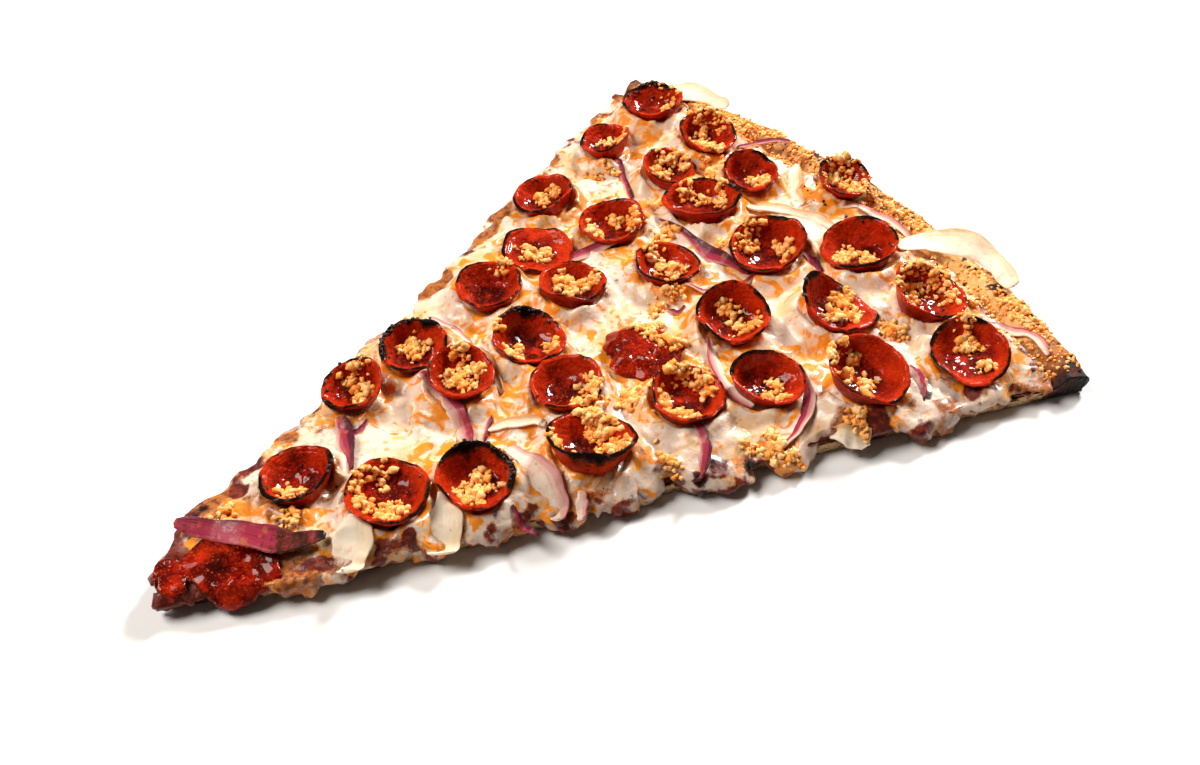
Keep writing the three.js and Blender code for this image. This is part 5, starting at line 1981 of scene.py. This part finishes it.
@dataclass
class Scatter:
    """The roasted garlic on the toppings and the rim, and the burnt flecks between.

    Ground is the finished pieces to lie on, and onions the finished strips of onion, which the rim's
    crumbs and the flecks keep off. Each kind of heap has a spread and a usual radius of its lumps, in
    millimetres. Loose crumbs and flecks are counted.
    """

    ground: BVHTree
    onions: BVHTree
    rng: np.random.Generator = field(default_factory=lambda: np.random.default_rng(41))
    in_cups = (1.6, 0.86)
    on_cheese = (1.5, 0.9)
    on_rim = (2.3, 0.68)
    spilt = 30
    loose_crumbs = 1400
    loose_flecks = 90

    def garlic(self) -> Crumbs:
        """Heaps in the cups and on the cheese.

        Returns:
            The crumbs, ready to make.
        """
        crumbs = Crumbs("minced_garlic", "cheese", 6, self.rng, self.ground)
        for x, y in (place for cup in CUPS for place in cup.lump_places()):
            crumbs.heap(x, y, int(self.rng.integers(24, 36)), *self.in_cups)
        for x, y in CHEESE_LUMPS:
            crumbs.heap(x, y, int(self.rng.integers(16, 28)), *self.on_cheese)
        for x, y in SPILL:
            crumbs.heap(x, y, self.spilt, *self.in_cups)
        return crumbs

    def rim_garlic(self) -> Crumbs:
        """Finer crumbs baked on to the rim.

        Returns:
            The crumbs, ready to make.
        """
        crumbs = Crumbs("rim_crumbs", "crust", 6, self.rng, self.ground, self.onions)
        for x, y in RIM_LUMPS:
            crumbs.heap(x, y, int(self.rng.integers(16, 26)), *self.on_rim)
        for _ in range(self.loose_crumbs):
            x, y = self._near_rim(22.0, 284.0, 298.5)
            crumbs.put(x, y, self.rng.uniform(0.3, 0.8), float(unit(self.rng.normal(0.45, 0.28))))
        return crumbs

    def flecks(self) -> Crumbs:
        """Small burnt bits on the cups and the rim, and crusty lumps on burnt rims.

        Returns:
            The crumbs, ready to make.
        """
        crumbs = Crumbs("burnt_flecks", "crust", 5, self.rng, self.ground, self.onions)
        for cup, (heading, spread, strength) in ((cup, burnt) for cup in CUPS for burnt in cup.burns):
            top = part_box(cup.node)[1][2] / MM
            for _ in range(int(24 * np.clip(strength - 0.55, 0.0, 0.6))):
                angle = math.radians(heading + self.rng.normal(0.0, spread * 0.45))
                x, y = around(cup.x, cup.y, cup.rim / 2 * self.rng.uniform(0.8, 0.99), angle)
                crumbs.put(x, y, self.rng.uniform(0.3, 0.75), 1.0, -0.2, top - 2.4)
        for cup in CUPS:
            for _ in range(int(self.rng.integers(2, 7))):
                angle = self.rng.uniform(0, 2 * math.pi)
                x, y = around(cup.x, cup.y, cup.rim / 2 * self.rng.uniform(0.2, 0.95), angle)
                crumbs.put(x, y, self.rng.uniform(0.22, 0.6), 1.0)
        for _ in range(self.loose_flecks):
            x, y = self._near_rim(21.0, 268.0, 298.0)
            crumbs.put(x, y, self.rng.uniform(0.25, 0.7), 1.0)
        return crumbs

    def _near_rim(self, last: float, inner: float, outer: float) -> Pair:
        """A random place near the rim.

        Args:
            last: The largest heading, in degrees, where the smallest is -22.
            inner: The least distance from the tip.
            outer: The largest distance from the tip.

        Returns:
            The place in the plan.
        """
        angle = math.radians(self.rng.uniform(-22.0, last))
        return around(0.0, 0.0, self.rng.uniform(inner, outer), angle)


# ---- Stage ----


@dataclass
class Studio:
    """The floor, the lights and the camera.

    Eye is the camera's place in the plan, look the direction that it faces there, pitch how many
    degrees it looks down, and lens its focal length in millimetres on a sensor 36 mm wide.
    """

    eye: Triple = (-37.2, -248.1, 307.4)
    look: Pair = (0.6285, 0.7778)
    pitch: float = 45.22
    lens: float = 39.06
    sensor: float = 36.0
    floor_size: float = 6.0
    floor_drop: float = 0.0004
    pale: Color = (0.83, 0.83, 0.83)
    warm: Color = (1.0, 0.84, 0.70)
    white: Color = (1.0, 1.0, 1.0)

    def floor(self) -> None:
        """A plain pale floor, just below the slice."""
        bm = bmesh.new()
        bmesh.ops.create_grid(bm, x_segments=1, y_segments=1, size=self.floor_size)
        bmesh.ops.translate(bm, verts=bm.verts, vec=(0.0, 0.0, -self.floor_drop))
        mesh = bpy.data.meshes.new("floor")
        bm.to_mesh(mesh)
        bm.free()
        add_object("floor", mesh, Finish("pale_floor").dress(Base_Color=self.pale, Roughness=0.9))

    def light(self, name: str, right: float, ahead: float, up: float, size: float, power: float,
              color: Color) -> None:
        """Adds a soft light that faces the slice.

        Args:
            name: The light's name.
            right: Metres to the camera's right of the slice.
            ahead: Metres beyond the slice, seen from the camera.
            up: Metres above the floor.
            size: Width of the light in metres.
            power: Watts.
            color: Its colour.
        """
        data = bpy.data.lights.new(name, "AREA")
        data.shape = "DISK"
        data.size = size
        data.energy = power
        data.color = color
        x, y = self.look
        lamp = add_object(name, data)
        lamp.location = (y * right + x * ahead, -x * right + y * ahead, up)
        lamp.rotation_euler = (-lamp.location).to_track_quat("-Z", "Y").to_euler()

    def camera(self) -> None:
        """The camera, looking down at the slice from its near side."""
        data = bpy.data.cameras.new("camera")
        data.sensor_width = self.sensor
        data.sensor_fit = "HORIZONTAL"
        data.lens = self.lens
        data.clip_start = 0.01
        made = add_object("camera", data)
        made.location = (np.array(self.eye) + TIP_IN_FRAME) * MM
        tilt = math.radians(self.pitch)
        gaze = Vector((self.look[0] * math.cos(tilt), self.look[1] * math.cos(tilt), -math.sin(tilt)))
        made.rotation_euler = gaze.to_track_quat("-Z", "Y").to_euler()
        bpy.context.scene.camera = made

    def sky(self) -> None:
        """An even sky that is white to the camera, and dim and warm to the slice."""
        world = bpy.data.worlds.new("studio")
        world.use_nodes = True
        g = Graph(world.node_tree)
        seen = g.node("ShaderNodeLightPath").outputs["Is Camera Ray"]
        background = world.node_tree.nodes["Background"].inputs
        g.feed(background["Color"], g.mix(seen, self.warm, self.white))
        g.feed(background["Strength"], g.span(seen, 0.0, 1.0, 0.06, 0.9))
        bpy.context.scene.world = world

    def set_up(self) -> None:
        """Builds the whole stage."""
        self.camera()
        self.floor()
        self.sky()
        self.light("key", 0.8, 1.1, 1.0, 0.42, 46.0, (1.0, 0.98, 0.95))
        self.light("fill", -1.1, 0.1, 1.4, 1.0, 38.0, (1.0, 0.94, 0.88))
        bpy.context.scene.view_settings.view_transform = "Standard"


# ---- The slice ----


def main() -> None:
    """Builds every piece in order, from the cups down to the crumbs that lie on everything."""
    logging.basicConfig(level=logging.INFO, format="%(name)s %(message)s")
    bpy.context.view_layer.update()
    Studio().set_up()

    curled = PepperoniFinish().make()
    level = PepperoniFinish("pepperoni_level", grainy=0.6, gloss=0.4, depth=1.0).make()
    red = OnionFinish("red_onion", edge=(0.33, 0.022, 0.052), flesh=(0.58, 0.30, 0.26),
                      heart=(0.72, 0.57, 0.46), dark=(0.085, 0.008, 0.020)).make()
    white = OnionFinish("white_onion", edge=(0.60, 0.31, 0.12), flesh=(0.80, 0.64, 0.44),
                        heart=(0.88, 0.76, 0.60), dark=(0.38, 0.13, 0.03)).make()

    cups = [cup.make(curled, level) for cup in CUPS]
    crust = Crust().make(CrustFinish().make())
    Sauce().make(SauceFinish().make())
    solid_strips = [strip for strip in STRIPS if strip.solid]
    cheese = Cheese(cups=CUPS, cup_tree=plan_tree(cups), strips=solid_strips).make(CheeseFinish().make())

    ground = plan_tree([cheese, crust])
    flats = [
        FlatSlice("pepperoni_tip", 8, 22, -8.6, 28, 20.5, -42).make(ground, level),
        FlatSlice("pepperoni_tip_end", 9, 6.2, -1.6, 12.5, 9.0, 75).make(ground, level),
    ]
    laid = plan_tree([cheese, crust, *flats])
    strips = [strip.make(i, laid, white if strip.kind is WHITE else red) for i, strip in enumerate(STRIPS)]

    scatter = Scatter(plan_tree([cheese, crust, *flats, *cups, *strips]), plan_tree(strips))
    garlic = GarlicFinish().make()
    scatter.garlic().make(garlic)
    scatter.rim_garlic().make(garlic)
    scatter.flecks().make(SootFinish().make())

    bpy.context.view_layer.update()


if __name__ == "__main__":
    main()
